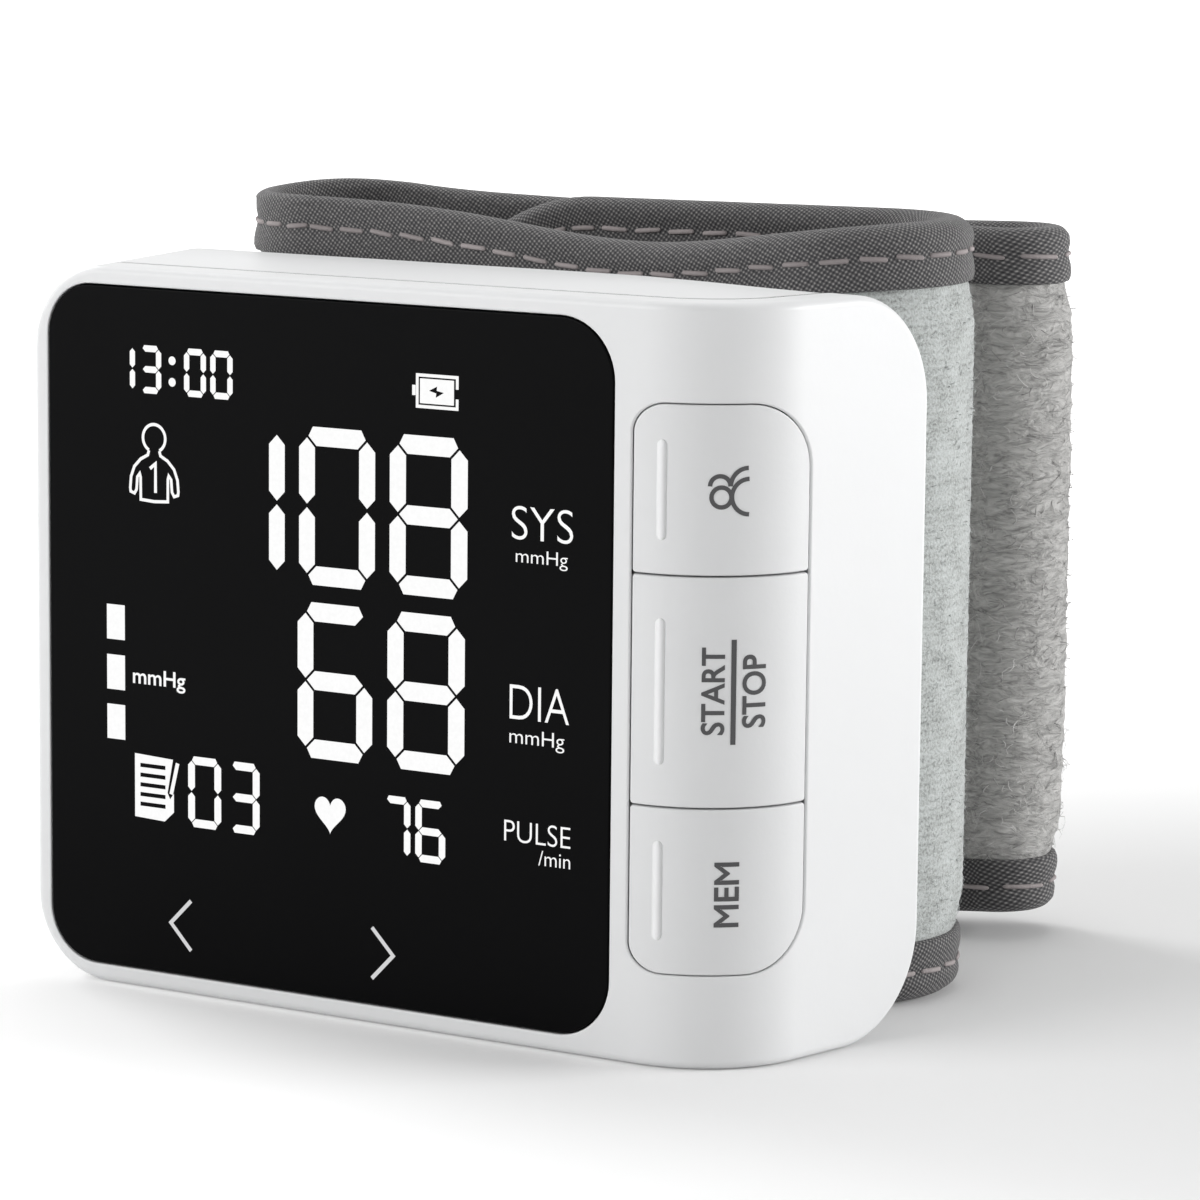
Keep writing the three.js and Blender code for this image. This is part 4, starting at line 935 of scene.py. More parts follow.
# Fabric finishes. Their patterns run on distances along the cloth, in millimetres.
TAPE_THREAD = 0.54
TAPE_SLANT = 0.22
TAPE_WANDER_SCALE = 0.9
TAPE_WANDER = 1.4
TAPE_FLECK_SCALE = 2.4
TAPE_FLECK_SHARE = 0.55
TAPE_THREAD_SHARE = 0.62
TAPE_BUMP = (0.7, 0.00012)
TAPE_TONES = (
    (0.18, (0.016, 0.016, 0.019)), (0.48, (0.054, 0.053, 0.056)),
    (0.68, (0.110, 0.107, 0.108)), (0.92, (0.32, 0.310, 0.302)),
)
KNIT_ROW = 0.85
KNIT_WANDER_SCALE = 0.7
KNIT_WANDER = 5.0
KNIT_LOOP_SCALE = 3.6
KNIT_LOOP_SHARE = 0.62
KNIT_ROW_SHARE = 0.05
KNIT_CLOUD_SCALE = 0.35
KNIT_CLOUD_SHARE = 0.28
KNIT_BUMP = (0.8, 0.0003)
KNIT_TONES = (
    (0.27, (0.17, 0.175, 0.17)), (0.38, (0.37, 0.385, 0.375)),
    (0.50, (0.54, 0.565, 0.555)), (0.68, (0.66, 0.69, 0.685)),
)
PILE_TONES = ((0.30, 0.18), (0.42, 0.36), (0.53, 0.53), (0.70, 0.70))
PILE_TINT = np.array([1.0, 0.985, 0.96])
PILE_STRETCH = (0.75, 1.05, 1.0)
PILE_TWIST_SCALE = 0.5
PILE_TWIST = (3.0, 3.0, 0.0)
PILE_TWIST_SHARE = 0.75
PILE_TUFT_SCALE = 0.75
PILE_FINE_SCALE = 2.6
PILE_FINE_SHARE = 0.6
PILE_BUMP = (1.0, 0.0006)
FIBRE_TIP_SHARE = 0.25


def cloth_place(tree, stretch=(1.0, 1.0, 1.0)):
    place = put(tree, "UVMap", {"uv_map": "weave"}).outputs["UV"]
    return put(tree, "Mapping", inputs={"Vector": place, "Scale": stretch}).outputs["Vector"]


def half_wave(tree, level):
    """Brings a level between -1 and 1 to between 0 and 1."""
    return math_node(tree, "MULTIPLY_ADD", level, 0.5, 0.5)


def split(tree, vector):
    return put(tree, "SeparateXYZ", inputs={"Vector": vector}).outputs


def weigh(tree, a, share_a, b, share_b):
    """Sum of two levels, each with its share."""
    return math_node(tree, "MULTIPLY_ADD", a, share_a, math_node(tree, "MULTIPLY", b, share_b))


def woven_tape(name):
    """Bias tape: two sets of threads crossing on the slant, with light flecks on the raised threads."""
    material, tree, bsdf = new_material(name)
    place = cloth_place(tree)
    parts = split(tree, place)
    shift = math_node(tree, "MULTIPLY", noise(tree, place, TAPE_WANDER_SCALE, 2.0), TAPE_WANDER)
    threads = []
    for along, across, slant in (("X", "Y", TAPE_SLANT), ("Y", "X", -TAPE_SLANT)):
        run = math_node(tree, "MULTIPLY_ADD", parts[across], slant, parts[along])
        phase = math_node(tree, "MULTIPLY_ADD", run, 2 * math.pi / TAPE_THREAD, shift)
        threads.append(math_node(tree, "SINE", phase))
    height = half_wave(tree, math_node(tree, "MULTIPLY", *threads))
    flecks = noise(tree, place, TAPE_FLECK_SCALE, 3.0, 0.7)
    level = weigh(tree, flecks, TAPE_FLECK_SHARE, height, TAPE_THREAD_SHARE)
    surface(tree, bsdf, ramp(tree, level, TAPE_TONES), 0.72, 0.25, {"Sheen Weight": 0.12})
    bump(tree, bsdf, height, *TAPE_BUMP)
    return material


def knit_cloth(name):
    """Short loops in fine level rows, pale, with dark specks between the loops."""
    material, tree, bsdf = new_material(name)
    place = cloth_place(tree)
    wander = noise(tree, place, KNIT_WANDER_SCALE, 3.0)
    rows = weigh(tree, split(tree, place)["Y"], 2 * math.pi / KNIT_ROW, wander, KNIT_WANDER)
    rows = half_wave(tree, math_node(tree, "SINE", rows))
    level = weigh(tree, noise(tree, place, KNIT_LOOP_SCALE, 3.0, 0.6), KNIT_LOOP_SHARE, rows, KNIT_ROW_SHARE)
    clouds = noise(tree, place, KNIT_CLOUD_SCALE, 2.0)
    level = math_node(tree, "MULTIPLY_ADD", clouds, KNIT_CLOUD_SHARE, level)
    sheen = {"Sheen Weight": 0.5, "Sheen Roughness": 0.4}
    surface(tree, bsdf, ramp(tree, level, KNIT_TONES), 0.95, 0.1, sheen)
    bump(tree, bsdf, level, *KNIT_BUMP)
    return material


def pile_cloth(name, shade):
    """Brushed pile: tangled fibres in streaks, lighter on the tips and dark between them."""
    material, tree, bsdf = new_material(name)
    place = cloth_place(tree, PILE_STRETCH)
    coarse = {"Vector": place, "Scale": PILE_TWIST_SCALE, "Detail": 2.0}
    twist = put(tree, "TexNoise", inputs=coarse).outputs["Color"]
    shift = {0: twist, 1: PILE_TWIST, 2: place}
    lifted = put(tree, "VectorMath", {"operation": "MULTIPLY_ADD"}, shift).outputs["Vector"]
    ends = {"Factor": PILE_TWIST_SHARE, "A": place, "B": lifted}
    bent = put(tree, "Mix", {"data_type": "VECTOR"}, ends).outputs["Result"]
    fine = noise(tree, bent, PILE_FINE_SCALE, 4.0, 0.62)
    tufts = noise(tree, bent, PILE_TUFT_SCALE, 3.0, 0.55)
    level = weigh(tree, fine, PILE_FINE_SHARE, tufts, 1 - PILE_FINE_SHARE)
    stops = [(spot, tuple(tone * shade * PILE_TINT)) for spot, tone in PILE_TONES]
    sheen = {"Sheen Weight": 0.55, "Sheen Roughness": 0.45}
    surface(tree, bsdf, ramp(tree, level, stops), 0.95, 0.1, sheen)
    bump(tree, bsdf, level, *PILE_BUMP)
    return material


def fibre(name, dark, light):
    """Single fibres: each has its own tone, and its tip is paler than its root."""
    material, tree, bsdf = new_material(name)
    parts = split(tree, cloth_place(tree))
    level = weigh(tree, parts["Y"], FIBRE_TIP_SHARE, parts["X"], 1 - FIBRE_TIP_SHARE)
    surface(tree, bsdf, ramp(tree, level, [(0.0, dark), (1.0, light)]), 0.9, 0.1)
    return material


TAPE = woven_tape("binding_weave")
KNIT = knit_cloth("knit_loops")
PILE = pile_cloth("pile_brushed", 1.0)
LINING = pile_cloth("lining_brushed", 0.8)
THREAD = moulded("stitch_thread", (0.35, 0.315, 0.315), 0.8, 3000.0, 0.5, 0.25, 0.2)
PILE_FIBRE = fibre("pile_fibre", (0.26, 0.255, 0.25), (0.78, 0.77, 0.76))
KNIT_FIBRE = fibre("knit_fibre", (0.42, 0.44, 0.43), (0.74, 0.77, 0.765))
HOOKS = moulded("hook_plastic", (0.07, 0.07, 0.072), 0.6, 1500.0, 0.2, 0.1, 0.3)


# Bands: a path in plan, with distance, depth from the outer face, and height
BAND_STEP = 0.25


class Band:
    """A band along a path. Two tables give its thickness, full and under its tape, over the distance."""

    def __init__(self, heading, moves, side, settle, full_table, rim_table):
        self.side = side
        self.settle = settle
        self.full_table = full_table
        self.rim_table = rim_table
        s = [0.0]
        points = [np.array([CUFF_LEFT_X, CUFF_FRONT_Y])]
        headings = [heading]
        for length, turn in moves:
            count = max(2, int(length / BAND_STEP))
            half = turn / count / 2
            chord = length / count * (math.sin(half) / half if half else 1.0)
            for _ in range(count):
                way = headings[-1] + half
                points.append(points[-1] + chord * np.array([math.cos(way), math.sin(way)]))
                headings.append(headings[-1] + 2 * half)
                s.append(s[-1] + length / count)
        self.s = np.array(s)
        self.points = np.array(points)
        self.headings = np.array(headings)
        self.length = s[-1]

    def thickness(self, s):
        return np.interp(s, *self.full_table)

    def rim(self, s):
        return np.interp(s, *self.rim_table)

    def inward(self, s):
        heading = np.interp(s, self.s, self.headings)
        return self.side * np.stack([-np.sin(heading), np.cos(heading)], -1)

    def place(self, s, q, z):
        s, q, z = np.broadcast_arrays(np.asarray(s, float), q, z)
        plan = np.stack([np.interp(s, self.s, self.points[:, k]) for k in (0, 1)], -1)
        plan = plan + self.inward(s) * q[..., None]
        return np.concatenate([plan, self.settle(s, z)[..., None]], -1)


SAG_PLACE = 37.8
SAG_DEPTH = 2.8
SAG_REACH = (19.0, 17.0)
SAG_FOOT = 30.0
CREASE_PLACE = 27.0
CREASE_RISE = 0.7
CREASE_REACH = 9.0
CREASE_FOOT = 45.0
BEND_RUN = math.pi - STRAP_TILT
STRAP_ROOT = CUFF_BEND_RADIUS * BEND_RUN
CUFF_TURN = math.pi + FLAP_TILT
FOLD_TURN = math.pi + STRAP_FOLD_CLOSE
CUFF_FULL = ((0, 1), (BAND_THICKNESS, BAND_THICKNESS))
CUFF_RIM = ((0, 15, 40, 95, 125), (0.7, 1.4, 3.3, 3.2, 2.2))
STRAP_FULL = ((STRAP_ROOT - 3, STRAP_ROOT + 2), (BAND_THICKNESS, STRAP_THICKNESS))
STRAP_RIM = ((0, 28, 42), (0.7, 1.0, 2.1))


def settle_cuff(s, z):
    """The front rim sags between its two bends."""
    reach = np.where(s < SAG_PLACE, *SAG_REACH)
    drop = SAG_DEPTH * np.exp(-((s - SAG_PLACE) / reach) ** 2)
    return z - drop * ease(SAG_FOOT, CUFF_HEIGHT, z)


def settle_strap(s, z):
    """The strap narrows from its root to its fold."""
    heights = (CUFF_HEIGHT, STRAP_ROOT_HEIGHT, STRAP_HEIGHT)
    share = np.interp(s, [0, STRAP_ROOT, STRAP_ROOT + STRAP_RUN], heights) / CUFF_HEIGHT
    crease = CREASE_RISE * np.exp(-((s - CREASE_PLACE) / CREASE_REACH) ** 2)
    peak = crease * ease(CREASE_FOOT, CUFF_HEIGHT, z)
    return CUFF_HEIGHT / 2 + (z - CUFF_HEIGHT / 2) * share + peak


cuff_band = Band(
    0.0,
    [(CUFF_RIGHT_X - CUFF_LEFT_X, 0.0), (CUFF_BEND_RADIUS * CUFF_TURN, CUFF_TURN), (FLAP_LENGTH, 0.0)],
    1, settle_cuff, CUFF_FULL, CUFF_RIM)
strap_band = Band(
    math.pi,
    [
        (STRAP_ROOT, -BEND_RUN), (STRAP_RUN, 0.0),
        (STRAP_FOLD_RADIUS * FOLD_TURN, FOLD_TURN), (STRAP_RETURN, 0.0),
        (STRAP_EASE_RADIUS * STRAP_FOLD_CLOSE, -STRAP_FOLD_CLOSE), (STRAP_TIP, 0.0),
    ],
    -1, settle_strap, STRAP_FULL, STRAP_RIM)


def ride_band(piece, band, slot):
    """A cuff piece rides on the casing. A strap piece has its transform baked into its points and rides on no
    body.
    """
    if band is cuff_band:
        return belong(piece, "monitor", slot)
    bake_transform(piece)
    return piece


# Binding tape, folded over the edge of a band, with a row of stitches on each face
RIM_STEP = 0.5
RIM_ARC_STEPS = 24
TAPE_FACE = (
    (6.0, 0.15), (6.12, -0.30), (5.97, -0.66), (5.5, -0.80), (4.8, -0.80),
    (4.1, -0.70), (3.55, -0.56), (3.05, -0.46), (2.5, -0.55), (2.0, -0.66),
)
TAPE_CROWN_SHARE = 0.42
TAPE_CROWN_STEPS = 16
RIPPLE_LENGTH = 2.6
RIPPLE_STEP = 0.35
RIPPLE_DEPTH = 0.16
RIPPLE_TABLE = (64, 16)


def rim_outline(length, radius):
    """The free edge of a band: along the top, round its end and back along the bottom."""
    turns = np.radians(np.linspace(0, 90, RIM_ARC_STEPS + 1))
    flat = length - radius
    ahead = np.arange(0, flat, RIM_STEP)
    down = np.arange(CUFF_HEIGHT - radius, radius, -RIM_STEP)[1:]
    back = np.maximum(np.arange(flat, -RIM_STEP / 2, -RIM_STEP)[1:], 0)
    s = [
        ahead, flat + radius * np.sin(turns), np.full(len(down), length),
        flat + radius * np.cos(turns), back,
    ]
    z = [
        np.full(len(ahead), CUFF_HEIGHT), CUFF_HEIGHT - radius + radius * np.cos(turns), down,
        radius - radius * np.sin(turns), np.zeros(len(back)),
    ]
    quarter = math.pi / 2
    turned = [0 * ahead, turns, 0 * down + quarter, turns + quarter, 0 * back + math.pi]
    way = np.concatenate(turned)
    return np.stack([np.concatenate(s), np.concatenate(z)], -1), np.stack([np.sin(way), np.cos(way)], -1)


def tape_section(thick):
    """Drop from the crest and depth from the outer face, for an array of thicknesses."""
    thick = thick[:, None]
    half = thick / 2 + TAPE_DEPTH
    turns = np.radians(np.linspace(0, 180, TAPE_CROWN_STEPS + 1))
    down, into = np.array(TAPE_FACE).T
    crown = 2 * half * TAPE_CROWN_SHARE * (1 - np.sin(turns))
    drop = [down + 0 * thick, crown, down[::-1] + 0 * thick]
    depth = [into + 0 * thick, thick / 2 - half * np.cos(turns), thick - into[::-1]]
    return np.concatenate(drop, 1), np.concatenate(depth, 1)


def build_tape(name, band, radius):
    spots, ways = rim_outline(band.length, radius)
    drop, depth = tape_section(band.rim(spots[:, 0]))
    s = spots[:, :1] - ways[:, :1] * drop
    z = spots[:, 1:] - ways[:, 1:] * drop
    along = np.concatenate([[0], np.cumsum(np.linalg.norm(np.diff(spots, axis=0), axis=1))])
    ripple = rng.random(RIPPLE_TABLE)
    spread = np.arange(drop.shape[1])[None, :] * RIPPLE_STEP
    wave = value_noise(along[:, None] / RIPPLE_LENGTH + 0 * spread, spread, ripple) - 0.5
    outer = np.sign(depth - band.rim(spots[:, 0])[:, None] / 2)
    points = band.place(s, depth + RIPPLE_DEPTH * wave * outer, z)
    rows, cols = drop.shape
    step = np.hypot(np.diff(drop, axis=1), np.diff(depth, axis=1))
    across = np.concatenate([np.zeros((rows, 1)), np.cumsum(step, axis=1)], axis=1)
    uv = np.stack([np.broadcast_to(band.side * along[:, None], drop.shape), across], -1)
    faces = grid_faces(rows, cols, band.side < 0)
    obj = add_object(name, points.reshape(-1, 3), faces, TAPE, uv=uv.reshape(-1, 2))
    return ride_band(obj, band, "binding"), spots, ways, along


def grid_faces(rows, cols, flip):
    i, j = np.meshgrid(np.arange(rows - 1), np.arange(cols - 1), indexing="ij")
    first = (i * cols + j).ravel()
    quads = np.stack([first, first + cols, first + cols + 1, first + 1], -1)
    return quads[:, ::-1] if flip else quads


STITCH_PLACES = np.array([-0.5, -0.475, -0.42, 0.0, 0.42, 0.475, 0.5])
STITCH_WIDTHS = 0.25 * np.array([0.35, 0.75, 1.0, 1.05, 1.0, 0.75, 0.35])
STITCH_FLATNESS = 0.75
STITCH_SIDES = 6
STITCH_MARGIN = 1.5
STITCH_UNEVEN = 0.12
STITCH_SLANT = 0.25
STITCH_LIFT = 0.50
STITCH_ARCH = 0.10


def build_stitches(name, band, spots, ways, along):
    points = []
    faces = []
    rings = len(STITCH_PLACES)
    table = np.arange(STITCH_SIDES * rings).reshape(STITCH_SIDES, rings)
    following = np.roll(table, -1, axis=0)
    quads = np.stack([table[:, :-1], table[:, 1:], following[:, 1:], following[:, :-1]], -1)
    shell = [*quads.reshape(-1, 4).tolist(), table[:, 0].tolist(), table[::-1, -1].tolist()]
    for inner in (False, True):
        for middle in np.arange(STITCH_MARGIN, along[-1] - STITCH_MARGIN, STITCH_PERIOD):
            length = STITCH_LENGTH * (1 + STITCH_UNEVEN * (rng.random() - 0.5))
            slant = STITCH_SLANT * (rng.random() - 0.35)
            d = middle + STITCH_PLACES * length
            way = np.stack([np.interp(d, along, ways[:, 0]), np.interp(d, along, ways[:, 1])], -1)
            drop = STITCH_DROP + slant * STITCH_PLACES * 2
            s = np.interp(d, along, spots[:, 0]) - way[:, 0] * drop
            z = np.interp(d, along, spots[:, 1]) - way[:, 1] * drop
            lift = STITCH_LIFT + STITCH_ARCH * np.cos(STITCH_PLACES * math.pi)
            start = len(points)
            for turn in 2 * math.pi * np.arange(STITCH_SIDES) / STITCH_SIDES:
                side = STITCH_WIDTHS * math.cos(turn)
                out = lift + STITCH_WIDTHS * STITCH_FLATNESS * math.sin(turn)
                depth = band.rim(s) + out if inner else -out
                points.extend(band.place(s + way[:, 0] * side, depth, z + way[:, 1] * side))
            flip = -1 if inner != (band.side > 0) else 1
            faces.extend([start + i for i in face][::flip] for face in shell)
    return ride_band(add_object(name, points, faces, THREAD), band, "binding")


# Cloth faces of a band, with the relief of their surface
CLOTH_TUCK = 4.6
CLOTH_STEP = 0.5
LINING_STEP = 0.8
FULL_RUN = (1.0, 14.0)
PUFF_RUN = 6.0
RELIEF_RUN = 1.5
KNIT_ROW_RELIEF = 0.03
KNIT_FUZZ_RELIEF = 0.16
KNIT_FUZZ_SIZE = 0.5
PILE_STREAK_RELIEF = 0.32
PILE_TUFT_RELIEF = 0.2
PILE_LEAN = 2.2
FUZZ_FINE = rng.random((512, 512))
FUZZ_WIDE = rng.random((128, 128))


def knit_relief(s, z):
    rows = np.sin(2 * math.pi * z / KNIT_ROW + 4 * value_noise(s / 4, z / 9, FUZZ_WIDE))
    fuzz = value_noise(s / KNIT_FUZZ_SIZE, z / KNIT_FUZZ_SIZE, FUZZ_FINE) - 0.5
    return KNIT_ROW_RELIEF * rows + KNIT_FUZZ_RELIEF * fuzz


def pile_relief(s, z):
    lean = PILE_LEAN * value_noise(s / 5, z / 3, FUZZ_WIDE)
    streak = value_noise(s / 1.9 + lean, z / 0.62 + lean, FUZZ_FINE) - 0.5
    tuft = value_noise(s / 2.4, z / 2.0, FUZZ_WIDE) - 0.5
    return PILE_STREAK_RELIEF * streak + PILE_TUFT_RELIEF * tuft


class Cloth:
    """One face of a band inside its tape: where it ends, how full it is, and its relief."""

    def __init__(self, band, inner, radius, puff, relief):
        self.band = band
        self.inner = inner
        self.radius = radius
        self.puff = puff
        self.relief = relief
        self.length = band.length - CLOTH_TUCK

    def limits(self, s):
        """Lowest and highest place of the cloth at a distance along its band."""
        past = np.maximum(s - (self.band.length - self.radius), 0)
        reach = np.sqrt(np.maximum((self.radius - CLOTH_TUCK) ** 2 - past ** 2, 0))
        low = np.where(past > 0, self.radius - reach, CLOTH_TUCK)
        return low, CUFF_HEIGHT - low

    def base(self, s, z):
        """Distance from the cloth's edge, and the band's fullness there."""
        low, high = self.limits(s)
        edge = np.minimum(np.minimum(z - low, high - z), self.length - s)
        rim = self.band.rim(s)
        return edge, rim + (self.band.thickness(s) - rim) * ease(*FULL_RUN, edge)

    def rise(self, s, z, edge, share=1.0):
        """Height over the band: the puff, and a share of the relief."""
        return self.puff * ease(0, PUFF_RUN, edge) + self.relief(self.band.side * s, z) * share

    def place(self, s, z, full, out):
        return self.band.place(s, full + out if self.inner else -out, z)


def build_cloth(name, cloth, spacing, material, slot, *nodes):
    band = cloth.band
    rows = int(cloth.length / spacing)
    cols = int((CUFF_HEIGHT - 2 * CLOTH_TUCK) / spacing)
    s = np.linspace(0, cloth.length, rows)[:, None]
    low, high = cloth.limits(s)
    z = low + (high - low) * np.linspace(0, 1, cols)[None, :]
    s = np.broadcast_to(s, z.shape)
    edge, full = cloth.base(s, z)
    points = cloth.place(s, z, full, cloth.rise(s, z, edge, ease(0, RELIEF_RUN, edge)))
    faces = grid_faces(rows, cols, (band.side > 0) == cloth.inner)
    uv = np.stack([band.side * s, z], -1).reshape(-1, 2)
    piece = ride_band(add_object(name, points.reshape(-1, 3), faces, material, uv=uv), band, slot)
    if nodes:
        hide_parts(*nodes)
    return piece


# Loose fibres that stand off the cloth
FIBRE_STEPS = np.linspace(0, 1, 4)
FIBRE_WIDTH = 0.038
FIBRE_TAPER = (1.15, 0.7)
FIBRE_CLEAR = 0.03
FIBRE_ROOT = 0.14
FIBRE_CORNERS = ((-1, 0.0), (1, 0.0), (0, 1.0))
FIBRE_MARGIN = 1.5
FIBRE_SPREAD = 0.75
FIBRE_BEND = 0.6
FIBRE_ARCH_TURN = 0.85 * math.pi


def build_fibres(name, cloth, material, slot, count, reach, lift, start=0.0):
    """Loose fibres: closed three-sided prisms, rooted in the cloth and thinner to the tip."""
    s = start + rng.random(count) * (cloth.length - 2 - start)
    low, high = cloth.limits(s)
    z = low + FIBRE_MARGIN + (high - low - 2 * FIBRE_MARGIN) * rng.random(count)
    angle = rng.normal(0, FIBRE_SPREAD, count) + math.pi * (rng.random(count) < 0.5)
    length = reach * (0.5 + rng.random(count))
    arch = lift * rng.random(count) ** 2
    bend = rng.normal(0, FIBRE_BEND, count)
    tone = rng.random(count)
    edge, full = cloth.base(s, z)
    across = math.ceil(math.sqrt(count))
    cell = np.stack([np.arange(count) % across, np.arange(count) // across], -1)
    points, tones, cells = [], [], []
    for t in FIBRE_STEPS:
        turn = angle + bend * t
        along = s + np.cos(turn) * length * t
        up = z + np.sin(turn) * length * t
        stand = FIBRE_CLEAR - FIBRE_ROOT * (1 - t) ** 4 + arch * math.sin(FIBRE_ARCH_TURN * t)
        out = cloth.rise(along, up, edge) + stand
        wide = FIBRE_WIDTH * (FIBRE_TAPER[0] - FIBRE_TAPER[1] * t)
        for way, crest in FIBRE_CORNERS:
            side = wide * way
            points.append(cloth.place(
                along - np.sin(turn) * side, up + np.cos(turn) * side, full, out + crest * wide))
            tones.append(np.stack([tone, np.full(count, t)], -1))
            cells.append((cell + [0.5 + 0.4 * way, 0.1 + 0.7 * t + 0.1 * crest]) / across)
    per = len(FIBRE_CORNERS)
    last = len(FIBRE_STEPS) - 1
    first = np.arange(count)[:, None] * per * (last + 1)
    ends = np.concatenate([first + [0, 1, 2], first + per * last + [2, 1, 0]])
    sides = np.concatenate([
        first + ring * per + [k, k + per, (k + 1) % per + per, (k + 1) % per]
        for ring in range(last) for k in range(per)
    ])
    flip = -1 if cloth.inner != (cloth.band.side > 0) else 1
    faces = ends[:, ::flip].tolist() + sides[:, ::flip].tolist()
    places, tones, cells = (np.stack(p, 1).reshape(-1, p[0].shape[-1]) for p in (points, tones, cells))
    piece = add_object(name, places, faces, material, uv=tones)
    add_map(piece.data, "OFBake", cells)
    piece.data.uv_layers["weave"].active_render = True
    return ride_band(piece, cloth.band, slot)


cuff_face = Cloth(cuff_band, False, FLAP_END_RADIUS, puff=0.85, relief=knit_relief)
cuff_back = Cloth(cuff_band, True, FLAP_END_RADIUS, puff=0.5, relief=pile_relief)
strap_face = Cloth(strap_band, False, STRAP_TIP_RADIUS, puff=0.7, relief=knit_relief)
strap_back = Cloth(strap_band, True, STRAP_TIP_RADIUS, puff=0.9, relief=pile_relief)
cuff_tape, *cuff_edge = build_tape("cuff_tape", cuff_band, FLAP_END_RADIUS)
strap_tape, *strap_edge = build_tape("strap_tape", strap_band, STRAP_TIP_RADIUS)
cuff_stitches = build_stitches("cuff_stitches", cuff_band, *cuff_edge)
strap_stitches = build_stitches("strap_stitches", strap_band, *strap_edge)
cuff_knit = build_cloth("cuff_knit", cuff_face, CLOTH_STEP, KNIT, "knit", "cuff_cover")
cuff_inside = build_cloth("cuff_inside", cuff_back, LINING_STEP, LINING, "lining", "cuff_lining")
strap_knit = build_cloth("strap_knit", strap_face, CLOTH_STEP, KNIT, "knit")
strap_pile = build_cloth("strap_pile", strap_back, CLOTH_STEP, PILE, "pile", "closure_strap")
pile_fibres = build_fibres(
    "pile_fibres", strap_back, PILE_FIBRE, "pile", count=9000, reach=1.3, lift=0.7, start=STRAP_ROOT + 2)
cuff_fibres = build_fibres("cuff_fibres", cuff_face, KNIT_FIBRE, "knit", count=7500, reach=0.55, lift=0.3)
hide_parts("cuff_top_binding", "cuff_bottom_binding")
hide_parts("strap_top_binding", "strap_bottom_binding")


# Hook patch under the end of the strap: a thin rounded plate with rows of small hooks
HOOK_PLATE_SIZE = (14.0, 48.0)
HOOK_PLATE_RADIUS = 2.5
HOOK_PLATE_END = 2.0
HOOK_PLATE_RINGS = ((1.0, -0.05), (1.0, -0.85), (1 - 0.12 / 7, -1.0))
HOOK_PLATE_STEP = 2.0
HOOK_PITCH = 1.1
HOOK_MARGIN = 1.2
HOOK_FOOT = 0.16 * np.array(SQUARE)
HOOK_LEVELS = ((0.0, 1.0, -0.98), (0.25, 0.7, -1.28))


def build_hook_patch():
    wide, tall = HOOK_PLATE_SIZE
    middle = np.array([strap_band.length - HOOK_PLATE_END - wide / 2, CUFF_HEIGHT / 2])
    (start, low), (end, high) = middle - [wide / 2, tall / 2], middle + [wide / 2, tall / 2]
    points = []
    faces = []

    def prism(rings):
        """Rings of the same count, joined in turn, with the last one closed."""
        base = len(points)
        n = len(rings[0][0])
        for spots, depth in rings:
            points.extend(strap_band.place(spots[:, 0], np.full(n, depth), spots[:, 1]))
        for k in range(len(rings) - 1):
            a, b = base + k * n, base + (k + 1) * n
            faces.extend((a + i, a + (i + 1) % n, b + (i + 1) % n, b + i) for i in range(n))
        faces.append(tuple(range(len(points) - n, len(points))))
        return base, n

    outline, _ = rounded_outline(start, end, low, high, (HOOK_PLATE_RADIUS,) * 4, HOOK_PLATE_STEP)
    base, n = prism([(middle + (outline - middle) * share, depth) for share, depth in HOOK_PLATE_RINGS])
    faces.append(tuple(range(base, base + n))[::-1])
    for s in np.arange(start + HOOK_MARGIN, end - 1, HOOK_PITCH):
        for z in np.arange(low + HOOK_MARGIN, high - 1, HOOK_PITCH):
            foot = np.array([s, z])
            prism([(foot + [lean, 0] + HOOK_FOOT * share, depth) for lean, share, depth in HOOK_LEVELS])
    belong(add_object("hook_plate", points, faces, HOOKS, flat=True), "strap", "hook", "hook_patch")


build_hook_patch()


# Rear shell: the solid's own triangles welded to one skin, so that its rounded edges shade softly
SHELL_CREASE = 74
SHELL_WELD = 0.001


def build_casing_back():
    node = frame["nodes"]["rear_shell"]
    mesh = node.data.copy()
    work = bmesh.new()
    work.from_mesh(mesh)
    bmesh.ops.remove_doubles(work, verts=work.verts[:], dist=SHELL_WELD * MM)
    work.to_mesh(mesh)
    work.free()
    if "custom_normal" in mesh.attributes:
        mesh.attributes.remove(mesh.attributes["custom_normal"])
    mesh.polygons.foreach_set("use_smooth", [True] * len(mesh.polygons))
    mesh.set_sharp_from_angle(angle=math.radians(SHELL_CREASE))
    mesh.materials.clear()
    mesh.materials.append(CASING)
    back = show("casing_back", mesh)
    back.matrix_world = node.matrix_world.copy()
    belong(back, "monitor", "casing", "rear_shell")


build_casing_back()


